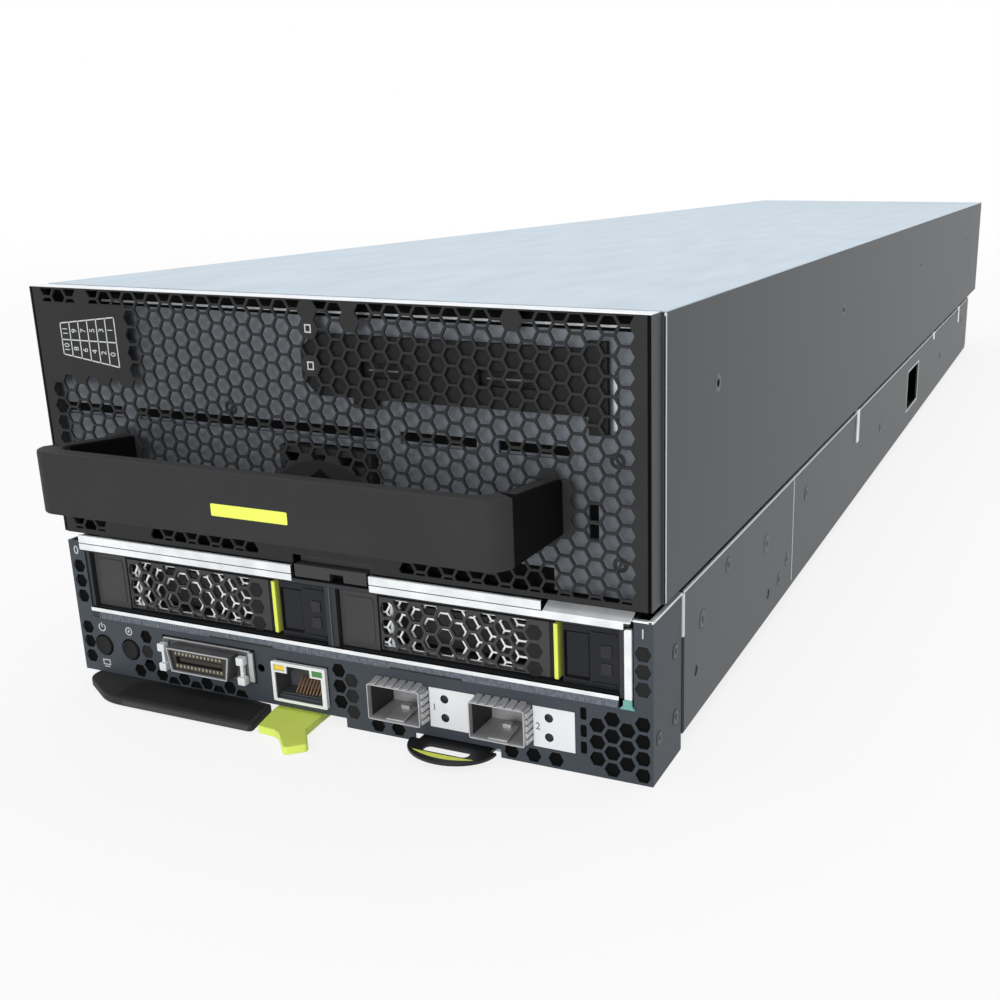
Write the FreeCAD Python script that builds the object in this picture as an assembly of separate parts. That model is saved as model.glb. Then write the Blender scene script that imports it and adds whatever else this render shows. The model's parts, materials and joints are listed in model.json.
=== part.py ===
import FreeCAD, Part
import math
import os

# Storage server node: a pull-out drive drawer on top of a thin compute tray.
# Millimetres. X runs left to right from the centre line, Z up from the surface it stands on.
# While modelling, Y runs backwards from the face of the drawer's grille; save() moves each
# piece so that the origin is under the middle of the whole node.

# Overall sizes
FRONT_WIDTH = 172.0
HALF = FRONT_WIDTH / 2
DRAWER_DEPTH = 724.0
CHASSIS_DEPTH = 678.5
TOTAL_HEIGHT = 110.2
HANDLE_REACH = 28.5
FRONT_Y = -(DRAWER_DEPTH - HANDLE_REACH) / 2

# Sheet metal
SHEET = 1.0
THIN_SHEET = 0.8
PANEL_SHEET = 1.2
RUNNING_GAP = 0.3

# Drawer shell
DRAWER_BOTTOM = 43.75
DRAWER_HALF = HALF + THIN_SHEET
COVER_BOTTOM = TOTAL_HEIGHT - SHEET
BEZEL_RETURN = 6.3
TUNNEL_INNER = 77.0
TUNNEL_ROOF = 57.0
REAR_SLOT = (40.0, 5.0)

# Grille: flat-topped hexagons in staggered columns
GRILLE_PITCH = 8.2
GRILLE_HOLE = 7.1
GRILLE_X = 81.0
GRILLE_Z = (46.4, 108.4)
VENT_HOLE = 3.6
VENT_PITCH = 4.39

# Handle
HANDLE_CENTRE = 0.2
HANDLE_HALF = 64.4
HANDLE_Z = (58.6, 73.0)
HANDLE_BAR = 4.2
HANDLE_ARM = 5.0
HANDLE_RADIUS = 8.0
INLAY_X = (-8.5, 12.1)
INLAY_Z = (64.8, 67.7)
INLAY_DEPTH = 0.7

# Drawer latch
LATCH_PANEL_HALF = 20.0
LATCH_PANEL_TOP = 52.0
LATCH_HOUSING_X = (-12.4, 13.9)
LATCH_HOUSING_Z = (46.6, 74.0)
LATCH_HOUSING_BACK = 9.0
LATCH_X = (-9.9, 11.4)
LATCH_Y = (2.2, 4.0)
LATCH_NOTCH_TOP = 46.2
TONGUE_Z = (40.5, 43.9)
TAB_HALF = 6.0
TAB_Z = (56.0, 60.0)
TAB_REACH = -2.5
LATCH_TRAVEL = 2.0

# Hard drives in the drawer
DRIVE_SIZE = (147.0, 101.6, 26.1)
DRIVE_LEFT = -76.0
DRIVE_FIRST = 16.0
DRIVE_PITCH = 108.0
DRIVES_DEEP = 6
SHELF_Z = 76.0
DRIVE_PLATE_Y = 3.6
DRIVE_PLATE_HALF = 84.6
DRIVE_PLATE_TOP = 103.5
BEZEL_TAB = 12.0
DRAWER_BOARD_X = 73.4
BOARD = 1.6

# Drawer slides, right-hand section; each member is a channel inside the next
SLIDE_FRONT = 126.0
SLIDE_BACK = 670.0
SLIDE_SHEET = 0.6

# Chassis
CHASSIS_TOP = 41.7
FLOOR = 3.74
WALL_FRONT = 21.0
RIB_CENTRE = 66.0
RIB_TOP_HALF = 8.0
RIB_FOOT_HALF = 4.3
LID_Z = 38.4
PANEL_FACE = 0.5
PANEL_BACK = PANEL_FACE + PANEL_SHEET
PANEL_TOP = 41.06
PANEL_LOW_LEFT = 2.85
PANEL_STEP = 1.4
BAND_TOP = 19.2
EAR_LEFT = -80.6
EAR_RIGHT = 81.2
EAR_RETURN = 20.0

# Twin drive bay
BAY_X = (-80.4, 80.8)
BAY_ARM_GAP = 0.2
FLANGE_Z = (40.3, 41.1)
FLANGE_NOSE = -1.0
LIP_TOP = 43.4
LIP_RIGHT = 144.9
BAY_Z = (21.4, 39.2)
BAY_DEPTH = 122.0
CARRIER_WIDTH = 76.0
CARRIER_LEFTS = (-78.9, 1.2)
CARRIER_Z = (22.6, 37.6)
CARRIER_FACE = 2.0
LEVER_START = 11.4
LEVER_END = 59.4
LEVER_THICK = 4.0
LEVER_Z = (23.0, 37.2)
LEVER_PIVOT = 14.0
LEVER_PIN = 0.8
STRIPE_WIDTH = 1.8
BLOCK_START = 61.6
BUTTON_X = (62.3, 68.3)
BUTTON_Z = (24.3, 35.6)
MESH_PITCH = 4.75
MESH_HOLE = 3.9

# Front buttons and ports, measured from the left edge of the panel
BUTTON_CENTRES = (8.0, 17.4)
BUTTON_HEIGHT = 10.9
BUTTON_RADIUS = 2.75
BUTTON_STEM = 1.6
JACK_X = (66.5, 83.0)
JACK_Z = (5.0, 16.2)
KVM_X = (29.5, 59.5)
KVM_Z = (8.0, 17.0)
CAGE_LEFTS = (97.0, 125.7)
CAGE_WIDTH = 15.0
CAGE_Z = (6.2, 15.8)
CAGE_NOSE = -3.5
CAGE_LENGTH = 52.0
CAGE_WALL = 0.5
PORT_PLATE_X = (94.2, 152.3)
PORT_PLATE_Z = (4.9, 15.9)

# Ejector lever, its latch and the label card under the front edge
EJECT_Z = (0.3, 2.5)
EJECT_PIVOT = (12.0, 6.0)
HOOK_PIVOT = (71.5, 4.2)
EJECT_PIN = 2.0
PIN_CLEARANCE = 0.05
CARD_X = (110.0, 130.0)
CARD_Z = (1.0, 2.0)
CARD_BACK = 55.0
RING_HALF = 12.0
RING_REACH = 8.9
RING_ROOT = -1.6
RING_Z = (0.5, 2.4)

# Rear guide sockets
SOCKET_X = 75.0
SOCKET_Z = 21.0
SOCKET_BORE = 4.0
SOCKET_HALF = 6.5
SOCKET_MOUTH = 692.0
SOCKET_LENGTH = 22.0

# Compute board
MAIN_BOARD_Y = (132.0, 600.0)
MAIN_BOARD_Z = 8.0
COOLER_CENTRES = (215.0, 465.0)
COOLER_SIZE = (92.0, 100.0)
COOLER_FINS = 12
MEMORY_FIRST = 52.0
MEMORY_PITCH = 8.0
MEMORY_LENGTH = 133.0

V = FreeCAD.Vector


def from_left(distance):
    """X of a place on the front, given its distance from the left edge."""
    return distance - HALF


def slab(x0, x1, y0, y1, z0, z1):
    return Part.makeBox(x1 - x0, y1 - y0, z1 - z0, V(x0, y0, z0))


def rect(x0, x1, z0, z1):
    return [(x0, z0), (x1, z0), (x1, z1), (x0, z1)]


def hexagon(cx, cz, across_flats):
    """Flat-topped hexagon."""
    radius = across_flats / math.sqrt(3)
    angles = [math.radians(60 * i) for i in range(6)]
    return [(cx + radius * math.cos(a), cz + radius * math.sin(a)) for a in angles]


def hex_field(x_span, z_span, pitch, across_flats, keep_outs=()):
    """Staggered hexagons that lie wholly inside a rectangle and outside every keep-out."""
    column = pitch * math.sqrt(3) / 2
    radius = across_flats / math.sqrt(3)
    columns = int((x_span[1] - x_span[0] - 2 * radius) / column)
    start = (x_span[0] + x_span[1]) / 2 - columns * column / 2
    rows = int((z_span[1] - z_span[0]) / pitch) + 1
    field = []
    for i in range(columns + 1):
        for j in range(rows):
            cx = start + i * column
            cz = z_span[0] + across_flats / 2 + (j + 0.5 * (i % 2)) * pitch
            clear = all(
                cx + radius < x0 or cx - radius > x1 or cz + radius < z0 or cz - radius > z1
                for x0, x1, z0, z1 in keep_outs
            )
            if clear and cz + across_flats / 2 <= z_span[1]:
                field.append(hexagon(cx, cz, across_flats))
    return field


def polygon_xz(points, y):
    corners = [V(x, y, z) for x, z in points]
    return Part.makePolygon(corners + corners[:1])


def prism_xz(points, y0, y1, holes=()):
    """Extrude an outline that stands in the XZ plane, with holes, along Y."""
    wires = [polygon_xz(points, y0)] + [polygon_xz(hole, y0) for hole in holes]
    face = Part.makeFace(wires, "Part::FaceMakerBullseye")
    return face.extrude(V(0, y1 - y0, 0))


def rounded_wire(corners, z):
    """Closed wire in a level plane through (x, y, radius) corners, with tangent arcs."""
    points = [V(x, y, z) for x, y, _ in corners]
    edges = []
    ends = []
    for i, (_, _, radius) in enumerate(corners):
        corner = points[i]
        if radius == 0:
            ends.append((corner, corner))
            continue
        back = (points[i - 1] - corner).normalize()
        ahead = (points[(i + 1) % len(points)] - corner).normalize()
        half = back.getAngle(ahead) / 2
        inward = (back + ahead).normalize()
        reach = radius / math.tan(half)
        start = corner + back * reach
        end = corner + ahead * reach
        middle = corner + inward * (radius / math.sin(half) - radius)
        edges.append(Part.Arc(start, middle, end).toShape())
        ends.append((start, end))
    for i in range(len(points)):
        start = ends[i - 1][1]
        end = ends[i][0]
        if start.distanceToPoint(end) > 1e-6:
            edges.append(Part.LineSegment(start, end).toShape())
    return Part.Wire(Part.__sortEdges__(edges))


def plate_xy(corners, z0, z1):
    """Flat plate with rounded corners, lying level."""
    return Part.Face(rounded_wire(corners, z0)).extrude(V(0, 0, z1 - z0))


def rod_y(x, z, radius, y0, y1):
    return Part.makeCylinder(radius, y1 - y0, V(x, y0, z), V(0, 1, 0))


def rod_z(x, y, radius, z0, z1):
    return Part.makeCylinder(radius, z1 - z0, V(x, y, z0), V(0, 0, 1))


def hex_post(x, y, across_flats, z0, z1):
    return plate_xy([(px, py, 0) for px, py in hexagon(x, y, across_flats)], z0, z1)


def joined(shapes):
    return shapes[0].multiFuse(shapes[1:]).removeSplitter()


def mirrored(shape):
    return shape.mirror(V(0, 0, 0), V(1, 0, 0))


def pair(shape):
    """The same piece on the right and on the left, as two solids."""
    return Part.makeCompound([shape, mirrored(shape)])


# Drawer


def drawer_bezel():
    """Front grille of the drawer, a perforated sheet with folded edges."""
    arm = HANDLE_ARM + 3
    window = (-TAB_HALF - 1, TAB_HALF + 1, TAB_Z[0] - 0.5, TAB_Z[1] + LATCH_TRAVEL + 0.5)
    keep_outs = [
        (-HALF, from_left(29.0), 87.5, 106.0),
        (-LATCH_PANEL_HALF, LATCH_PANEL_HALF, DRAWER_BOTTOM, LATCH_PANEL_TOP),
        (window[0] - 2, window[1] + 2, DRAWER_BOTTOM, 70.0),
    ]
    for side in (-1, 1):
        x = HANDLE_CENTRE + side * (HANDLE_HALF - HANDLE_ARM / 2)
        keep_outs.append((x - arm / 2, x + arm / 2, HANDLE_Z[0], HANDLE_Z[1]))
    holes = hex_field((-GRILLE_X, GRILLE_X), GRILLE_Z, GRILLE_PITCH, GRILLE_HOLE, keep_outs)
    holes.append(rect(*window))
    face = prism_xz(rect(-HALF, HALF, DRAWER_BOTTOM, COVER_BOTTOM), 0, PANEL_SHEET, holes)
    edge = slab(HALF - SHEET, HALF, PANEL_SHEET, BEZEL_RETURN, DRAWER_BOTTOM, COVER_BOTTOM)
    tab = slab(DRAWER_HALF - 2 * SHEET, DRAWER_HALF - SHEET, PANEL_SHEET, BEZEL_TAB, 62, 100)
    inner = HALF - SHEET
    foot = slab(-inner, inner, PANEL_SHEET, BEZEL_RETURN, DRAWER_BOTTOM, DRAWER_BOTTOM + SHEET)
    notch = slab(LATCH_X[0] - 0.7, LATCH_X[1] + 0.7, -1, BEZEL_RETURN, 0, LATCH_NOTCH_TOP)
    return joined([face, edge, mirrored(edge), tab, mirrored(tab), foot]).cut(notch)


def top_rail():
    """Bare metal strip over the grille, with a lip that drops behind it."""
    strip = slab(-HALF, HALF, 0, BEZEL_RETURN, COVER_BOTTOM, TOTAL_HEIGHT)
    lip = slab(-84.6, 84.6, BEZEL_RETURN - SHEET, BEZEL_RETURN, 104, COVER_BOTTOM)
    return joined([strip, lip])


def drawer_tray():
    """Folded tray; a tunnel along each side takes the slide that carries it."""
    outer = DRAWER_HALF
    wall = DRAWER_HALF - SHEET
    low = DRAWER_BOTTOM
    right = [
        (TUNNEL_INNER + SHEET, low),
        (TUNNEL_INNER + SHEET, TUNNEL_ROOF - SHEET),
        (wall, TUNNEL_ROOF - SHEET),
        (wall, low),
        (outer, low),
        (outer, COVER_BOTTOM),
        (wall, COVER_BOTTOM),
        (wall, TUNNEL_ROOF),
        (TUNNEL_INNER, TUNNEL_ROOF),
        (TUNNEL_INNER, low + SHEET),
    ]
    section = right + [(-x, z) for x, z in reversed(right)]
    shell = prism_xz(section, BEZEL_RETURN, DRAWER_DEPTH)
    back_outline = [
        (-TUNNEL_INNER, low + SHEET),
        (TUNNEL_INNER, low + SHEET),
        (TUNNEL_INNER, TUNNEL_ROOF),
        (wall, TUNNEL_ROOF),
        (wall, COVER_BOTTOM),
        (-wall, COVER_BOTTOM),
        (-wall, TUNNEL_ROOF),
        (-TUNNEL_INNER, TUNNEL_ROOF),
    ]
    slots = []
    for row in range(4):
        for column in range(3):
            x = (column - 1) * (REAR_SLOT[0] + 6)
            z = 64 + row * 10
            slots.append(rect(x - REAR_SLOT[0] / 2, x + REAR_SLOT[0] / 2, z, z + REAR_SLOT[1]))
    back = prism_xz(back_outline, DRAWER_DEPTH - SHEET, DRAWER_DEPTH, slots)
    return joined([shell, back])


def drawer_cover():
    """Flat top sheet with a hem that drops just inside each side wall."""
    sheet = slab(-DRAWER_HALF, DRAWER_HALF, BEZEL_RETURN + 0.2, DRAWER_DEPTH, COVER_BOTTOM, TOTAL_HEIGHT)
    hem_outer = DRAWER_HALF - SHEET
    hem = slab(hem_outer - THIN_SHEET, hem_outer, 24, DRAWER_DEPTH - 2, COVER_BOTTOM - 4, COVER_BOTTOM)
    return joined([sheet, hem, mirrored(hem)])


def pull_handle():
    """U-shaped bar with a shallow pocket for the inlay."""
    left = HANDLE_CENTRE - HANDLE_HALF
    right = HANDLE_CENTRE + HANDLE_HALF
    front = -HANDLE_REACH
    inner_front = front + HANDLE_BAR
    inner_radius = HANDLE_RADIUS - HANDLE_BAR
    outline = [
        (left, 0, 0),
        (left, front, HANDLE_RADIUS),
        (right, front, HANDLE_RADIUS),
        (right, 0, 0),
        (right - HANDLE_ARM, 0, 0),
        (right - HANDLE_ARM, inner_front, inner_radius),
        (left + HANDLE_ARM, inner_front, inner_radius),
        (left + HANDLE_ARM, 0, 0),
    ]
    bar = plate_xy(outline, *HANDLE_Z)
    return bar.cut(handle_inlay())


def handle_inlay():
    return slab(*INLAY_X, -HANDLE_REACH, -HANDLE_REACH + INLAY_DEPTH, *INLAY_Z)


def latch_housing():
    """Cup behind the grille, open below, in which the drawer latch slides."""
    x0, x1 = LATCH_HOUSING_X
    z0, z1 = LATCH_HOUSING_Z
    wall = 1.6
    arch = [
        (x0, z0),
        (x0 + wall, z0),
        (x0 + wall, z1 - wall),
        (x1 - wall, z1 - wall),
        (x1 - wall, z0),
        (x1, z0),
        (x1, z1),
        (x0, z1),
    ]
    rim = prism_xz(arch, PANEL_SHEET, LATCH_HOUSING_BACK)
    back = slab(x0, x1, LATCH_HOUSING_BACK, LATCH_HOUSING_BACK + 1.2, z0, z1)
    return joined([rim, back])


def drawer_latch():
    """Sliding latch: a thumb tab through the grille and a tongue that drops in the bay flange."""
    blade = slab(*LATCH_X, *LATCH_Y, TONGUE_Z[1] - 1.5, LATCH_HOUSING_Z[1] - 1.6 - LATCH_TRAVEL - 0.5)
    tab = slab(-TAB_HALF, TAB_HALF, TAB_REACH, LATCH_Y[0], *TAB_Z)
    step = slab(*LATCH_X, -0.6, LATCH_Y[0], TONGUE_Z[1] - 1.5, TONGUE_Z[1])
    tongue = slab(*LATCH_X, -0.6, 1.0, *TONGUE_Z)
    notch = slab(0.6, 4.6, -1, 1.4, TONGUE_Z[0] - 1, TONGUE_Z[1] - 1.5)
    return joined([blade, tab, step, tongue]).cut(notch)


def hard_drives():
    """Two layers of drives, each lying across the drawer."""
    width, depth, height = DRIVE_SIZE
    step = 2.0
    drives = []
    for base in (DRAWER_BOTTOM + SHEET, SHELF_Z + SHEET):
        for i in range(DRIVES_DEEP):
            y = DRIVE_FIRST + i * DRIVE_PITCH
            profile = [
                (DRIVE_LEFT, base),
                (DRIVE_LEFT + width, base),
                (DRIVE_LEFT + width, base + height - step),
                (DRIVE_LEFT + width - step, base + height),
                (DRIVE_LEFT + step, base + height),
                (DRIVE_LEFT, base + height - step),
            ]
            drives.append(prism_xz(profile, y, y + depth))
    return Part.makeCompound(drives)


def drive_frame():
    """Shelf for the upper drives, with a slotted plate close behind the grille."""
    half = DRIVE_PLATE_HALF
    low = DRAWER_BOTTOM + SHEET
    outline = rect(-half, half, low, DRIVE_PLATE_TOP)
    gaps = ((2.2, 22.4), (28.0, 101.4), (107.0, 127.4), (133.1, 151.2))
    holes = [rect(from_left(a), from_left(b), SHELF_Z + SHEET, SHELF_Z + 3.4) for a, b in gaps]
    air_slots = ((7.5, 21.5), (35.5, 70.0), (102.5, 146.0))
    holes += [rect(from_left(a), from_left(b), 46.0, 53.0) for a, b in air_slots]
    holes += [rect(from_left(155.8), from_left(158.3), z, z + 3.8) for z in (58.4, 63.4)]
    plate = prism_xz(outline, DRIVE_PLATE_Y, DRIVE_PLATE_Y + SHEET, holes)
    around = 0.5
    window = slab(
        LATCH_HOUSING_X[0] - around,
        LATCH_HOUSING_X[1] + around,
        0,
        BEZEL_RETURN,
        low,
        LATCH_HOUSING_Z[1] + around,
    )
    plate = plate.cut(window)
    shelf_right = DRAWER_BOARD_X - 0.6
    neck = slab(-half, shelf_right, DRIVE_PLATE_Y + SHEET, BEZEL_TAB, SHELF_Z, SHELF_Z + SHEET)
    shelf = slab(SHEET - DRAWER_HALF, shelf_right, BEZEL_TAB, 700, SHELF_Z, SHELF_Z + SHEET)
    return joined([plate, neck, shelf])


def drawer_backplane():
    """Upright board along the drawer with one connector per drive."""
    low = DRAWER_BOTTOM + SHEET
    board = slab(DRAWER_BOARD_X, DRAWER_BOARD_X + BOARD, 14, 700, low, 103)
    plug_left = DRIVE_LEFT + DRIVE_SIZE[0] + 0.2
    plugs = []
    for base in (low, SHELF_Z + SHEET):
        for i in range(DRIVES_DEEP):
            y = DRIVE_FIRST + i * DRIVE_PITCH + 12
            plugs.append(slab(plug_left, DRAWER_BOARD_X, y, y + 43, base + 3, base + 9))
    return joined([board] + plugs)


def indicator_plate():
    """Dark cover of the indicator board, on short posts from the drive plate."""
    left = from_left(82.0)
    right = from_left(162.6)
    front = 1.4
    back = 2.8
    bottom = 86.2
    top = 101.5
    corner = 4.0
    end = 5.0
    outline = [
        (left + corner, bottom),
        (right - end, bottom),
        (right - end, 82.9),
        (right, 82.9),
        (right, 103.2),
        (right - end, 103.2),
        (right - end, top),
        (left + corner, top),
        (left, top - corner),
        (left, bottom + corner),
    ]
    slots = [rect(from_left(a), from_left(a + 13.6), 92.0, 95.2) for a in (99.3, 130.5)]
    plate = prism_xz(outline, front, back, slots)
    spots = [(x, z) for x in (left + 8, right - 12) for z in (89, 98)]
    posts = [prism_xz(hexagon(x, z, 4.4), back, DRIVE_PLATE_Y) for x, z in spots]
    return joined([plate] + posts)


def channel(x_open, x_web, z0, z1):
    """Slide member: a web and two flanges, opening towards x_open."""
    sheet = SLIDE_SHEET
    inner = x_web - sheet if x_open < x_web else x_web + sheet
    return [
        (x_open, z0),
        (x_web, z0),
        (x_web, z1),
        (x_open, z1),
        (x_open, z1 - sheet),
        (inner, z1 - sheet),
        (inner, z0 + sheet),
        (x_open, z0 + sheet),
    ]


def slide_outer():
    """Outer slide members, standing on the chassis lid."""
    rail = prism_xz(channel(80.4, 83.9, 45.0, 54.5), SLIDE_FRONT, SLIDE_BACK)
    web = slab(83.9 - SLIDE_SHEET, 83.9, SLIDE_FRONT, SLIDE_BACK, BAY_Z[1], 45.0 + SLIDE_SHEET)
    foot = slab(76.5, 83.9, SLIDE_FRONT, SLIDE_BACK, BAY_Z[1], BAY_Z[1] + SLIDE_SHEET)
    return pair(joined([rail, web, foot]))


def slide_middle():
    return pair(prism_xz(channel(79.6, 83.0, 45.9, 53.6), SLIDE_FRONT, SLIDE_BACK))


def slide_inner():
    """Inner slide members, fixed to the tunnels of the drawer."""
    web = TUNNEL_INNER + SHEET
    return pair(prism_xz(channel(82.1, web, 46.8, 52.7), 30, 660))


# Chassis


def base_tray():
    """Floor with two pressed skids, side walls and a rear wall with connector windows."""
    wall = HALF - SHEET
    floor = FLOOR + SHEET
    skid = SHEET * 0.414
    right_outer = [
        (RIB_CENTRE - RIB_TOP_HALF, FLOOR),
        (RIB_CENTRE - RIB_FOOT_HALF, 0),
        (RIB_CENTRE + RIB_FOOT_HALF, 0),
        (RIB_CENTRE + RIB_TOP_HALF, FLOOR),
        (HALF, FLOOR),
        (HALF, CHASSIS_TOP),
    ]
    right_inner = [
        (wall, CHASSIS_TOP),
        (wall, floor),
        (RIB_CENTRE + RIB_TOP_HALF - skid, floor),
        (RIB_CENTRE + RIB_FOOT_HALF - skid, SHEET),
        (RIB_CENTRE - RIB_FOOT_HALF + skid, SHEET),
        (RIB_CENTRE - RIB_TOP_HALF + skid, floor),
    ]
    right = right_outer + right_inner
    section = [(-x, z) for x, z in reversed(right_outer)] + right
    section += [(-x, z) for x, z in reversed(right_inner)]
    shell = prism_xz(section, WALL_FRONT, CHASSIS_DEPTH)
    apron = slab(-HALF + 2, HALF - 2, PANEL_BACK, WALL_FRONT, FLOOR, floor)
    half = SOCKET_HALF + RUNNING_GAP
    windows = [rect(-58.4, -11.6, 10.6, 29.4), rect(11.6, 58.4, 10.6, 29.4)]
    for x in (-SOCKET_X, SOCKET_X):
        windows.append(rect(x - half, x + half, SOCKET_Z - half, SOCKET_Z + half))
    rear = prism_xz(rect(-wall, wall, floor, LID_Z), CHASSIS_DEPTH - SHEET, CHASSIS_DEPTH, windows)
    tray = joined([shell, apron, rear])
    return tray.cut(slab(wall - 1, HALF + 1, 382, 421, 13, 34))


def front_panel():
    """Port panel with its two ears, hexagonal vents and side returns."""
    notch = (from_left(CARD_X[0] - 2.1), from_left(CARD_X[1] + 2.1))
    outline = [
        (-HALF, PANEL_LOW_LEFT),
        (PANEL_STEP, PANEL_LOW_LEFT),
        (PANEL_STEP, 0),
        (notch[0], 0),
        (notch[0], CARD_Z[1] + RUNNING_GAP),
        (notch[1], CARD_Z[1] + RUNNING_GAP),
        (notch[1], 0),
        (HALF, 0),
        (HALF, PANEL_TOP),
        (EAR_RIGHT, PANEL_TOP),
        (EAR_RIGHT, BAND_TOP),
        (EAR_LEFT, BAND_TOP),
        (EAR_LEFT, PANEL_TOP),
        (-HALF, PANEL_TOP),
    ]
    vents = [hexagon(from_left(2.7), z, VENT_HOLE) for z in (33.7, 29.4, 24.9, 15.6, 11.3, 6.9)]
    vents += [hexagon(from_left(169.3), z, VENT_HOLE) for z in (33.3, 28.9, 24.5)]
    rows = [2.5 + i * VENT_PITCH for i in range(4)]
    half_up = [z + VENT_PITCH / 2 for z in rows[:3]]
    vents += [hexagon(from_left(x), z, VENT_HOLE) for x in (161.7, 169.3) for z in rows]
    vents += [hexagon(from_left(x), z, VENT_HOLE) for x in (157.9, 165.5) for z in half_up]
    vents += [hexagon(from_left(86.1), z, VENT_HOLE) for z in (15.8, 11.4, 7.0)]
    vents += [hexagon(from_left(89.8), z, VENT_HOLE) for z in (13.6, 9.2, 4.8)]
    vents += [hexagon(from_left(19.3 + 7.6 * i), 5.2, VENT_HOLE) for i in range(6)]
    vents += [hexagon(from_left(x), 2.6, VENT_HOLE) for x in (97, 103, 135, 141, 147)]
    ports = [
        rect(from_left(KVM_X[0] - 0.3), from_left(KVM_X[1] + 0.3), KVM_Z[0] - 0.3, KVM_Z[1] + 0.3),
        rect(from_left(JACK_X[0] + 0.2), from_left(JACK_X[1] - 0.2), 6.2, JACK_Z[1] - 0.1),
        rect(from_left(PORT_PLATE_X[0]), from_left(PORT_PLATE_X[1]), *PORT_PLATE_Z),
    ]
    face = prism_xz(outline, PANEL_FACE, PANEL_BACK, vents + ports)
    for x in BUTTON_CENTRES:
        face = face.cut(rod_y(from_left(x), BUTTON_HEIGHT, BUTTON_RADIUS + RUNNING_GAP, 0, 4))
    inner = HALF - SHEET
    right = slab(inner, HALF, PANEL_BACK, EAR_RETURN, 0, PANEL_TOP)
    left = slab(-HALF, -inner, PANEL_BACK, EAR_RETURN, PANEL_LOW_LEFT, PANEL_TOP)
    tab = slab(inner - SHEET, inner, 10, 32, 8, 36)
    return joined([face, right, left, tab, mirrored(tab)])


def bay_frame():
    """Bare metal frame of the twin drive bay, with a folded flange over the opening."""
    low, high = BAY_Z
    pockets = []
    for left in CARRIER_LEFTS:
        pockets.append(rect(left - 0.4, left + CARRIER_WIDTH + 0.4, low + THIN_SHEET, high - THIN_SHEET))
    tube = prism_xz(rect(*BAY_X, low, high), THIN_SHEET, BAY_DEPTH, pockets)
    sill = slab(BAY_X[0], from_left(163.7), 0, THIN_SHEET, BAND_TOP + 0.4, low + THIN_SHEET)
    riser = slab(*BAY_X, 5.2, 6.0, high, FLANGE_Z[0])
    flange = slab(*BAY_X, FLANGE_NOSE, 12, *FLANGE_Z)
    hem = slab(BAY_X[0], BAY_X[1] - 1.4, FLANGE_NOSE, FLANGE_NOSE + THIN_SHEET, 39.0, FLANGE_Z[0])
    lip = slab(
        BAY_X[0], from_left(LIP_RIGHT), FLANGE_NOSE, FLANGE_NOSE + THIN_SHEET, FLANGE_Z[1], LIP_TOP
    )
    notch = slab(LATCH_X[0] - 0.7, LATCH_X[1] + 0.7, FLANGE_NOSE - 1, 4.4, 40.0, LIP_TOP + 1)
    return joined([tube, sill, riser, flange, hem, lip]).cut(notch)


def chassis_lid():
    """Lid of the compute tray, with upturned edges and two arms beside the drive bay."""
    wall = HALF - SHEET
    edge = wall - THIN_SHEET
    top = LID_Z + THIN_SHEET
    section = [
        (-wall, LID_Z),
        (wall, LID_Z),
        (wall, CHASSIS_TOP),
        (edge, CHASSIS_TOP),
        (edge, top),
        (-edge, top),
        (-edge, CHASSIS_TOP),
        (-wall, CHASSIS_TOP),
    ]
    sheet = prism_xz(section, BAY_DEPTH + BOARD + 0.4, CHASSIS_DEPTH - SHEET)
    arm_section = [
        (BAY_X[1] + BAY_ARM_GAP, LID_Z),
        (wall, LID_Z),
        (wall, CHASSIS_TOP),
        (edge, CHASSIS_TOP),
        (edge, top),
        (BAY_X[1] + BAY_ARM_GAP, top),
    ]
    arm = prism_xz(arm_section, 32.5, BAY_DEPTH + BOARD + 0.4)
    return joined([sheet, arm, mirrored(arm)])


def lid_hooks():
    """Bright spring hooks clipped over the top edge of the side walls."""
    hooks = []
    for y, foot in ((238, 28.7), (476, 38.0), (611, 31.3)):
        leg = slab(HALF, HALF + THIN_SHEET, y, y + 4, foot, CHASSIS_TOP + THIN_SHEET)
        top = slab(HALF - 1.8, HALF, y, y + 4, CHASSIS_TOP, CHASSIS_TOP + THIN_SHEET)
        hook = joined([leg, top])
        hooks += [hook, mirrored(hook)]
    return Part.makeCompound(hooks)


def main_board():
    return slab(-82, 82, *MAIN_BOARD_Y, MAIN_BOARD_Z, MAIN_BOARD_Z + BOARD)


def board_standoffs():
    spots = [(x, y) for x in (-46, 46) for y in (150, 290, 440, 580)]
    return Part.makeCompound([hex_post(x, y, 6, FLOOR + SHEET, MAIN_BOARD_Z) for x, y in spots])


def processors():
    top = MAIN_BOARD_Z + BOARD
    return Part.makeCompound([slab(-36, 36, y - 28, y + 28, top, top + 5) for y in COOLER_CENTRES])


def heat_sinks():
    """Finned coolers; the air runs from front to back between the fins."""
    base = MAIN_BOARD_Z + BOARD + 5
    width, length = COOLER_SIZE
    pitch = width / COOLER_FINS
    coolers = []
    for y in COOLER_CENTRES:
        comb = [(-width / 2, base), (width / 2, base)]
        for i in range(COOLER_FINS):
            right = width / 2 - i * pitch
            comb += [(right, 36.5), (right - 1.4, 36.5)]
            if i < COOLER_FINS - 1:
                comb += [(right - 1.4, base + 4), (right - pitch, base + 4)]
        comb.append((comb[-1][0], base + 4))
        comb.append((-width / 2, base + 4))
        coolers.append(prism_xz(comb, y - length / 2, y + length / 2))
    return Part.makeCompound(coolers)


def memory_spots():
    for y in COOLER_CENTRES:
        for i in range(4):
            x = MEMORY_FIRST + i * MEMORY_PITCH
            yield x, y
            yield -x - 3, y


def memory_sockets():
    low = MAIN_BOARD_Z + BOARD
    half = MEMORY_LENGTH / 2 + 4
    sockets = [slab(x - 1, x + 4, y - half, y + half, low, low + 4) for x, y in memory_spots()]
    return Part.makeCompound(sockets)


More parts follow.
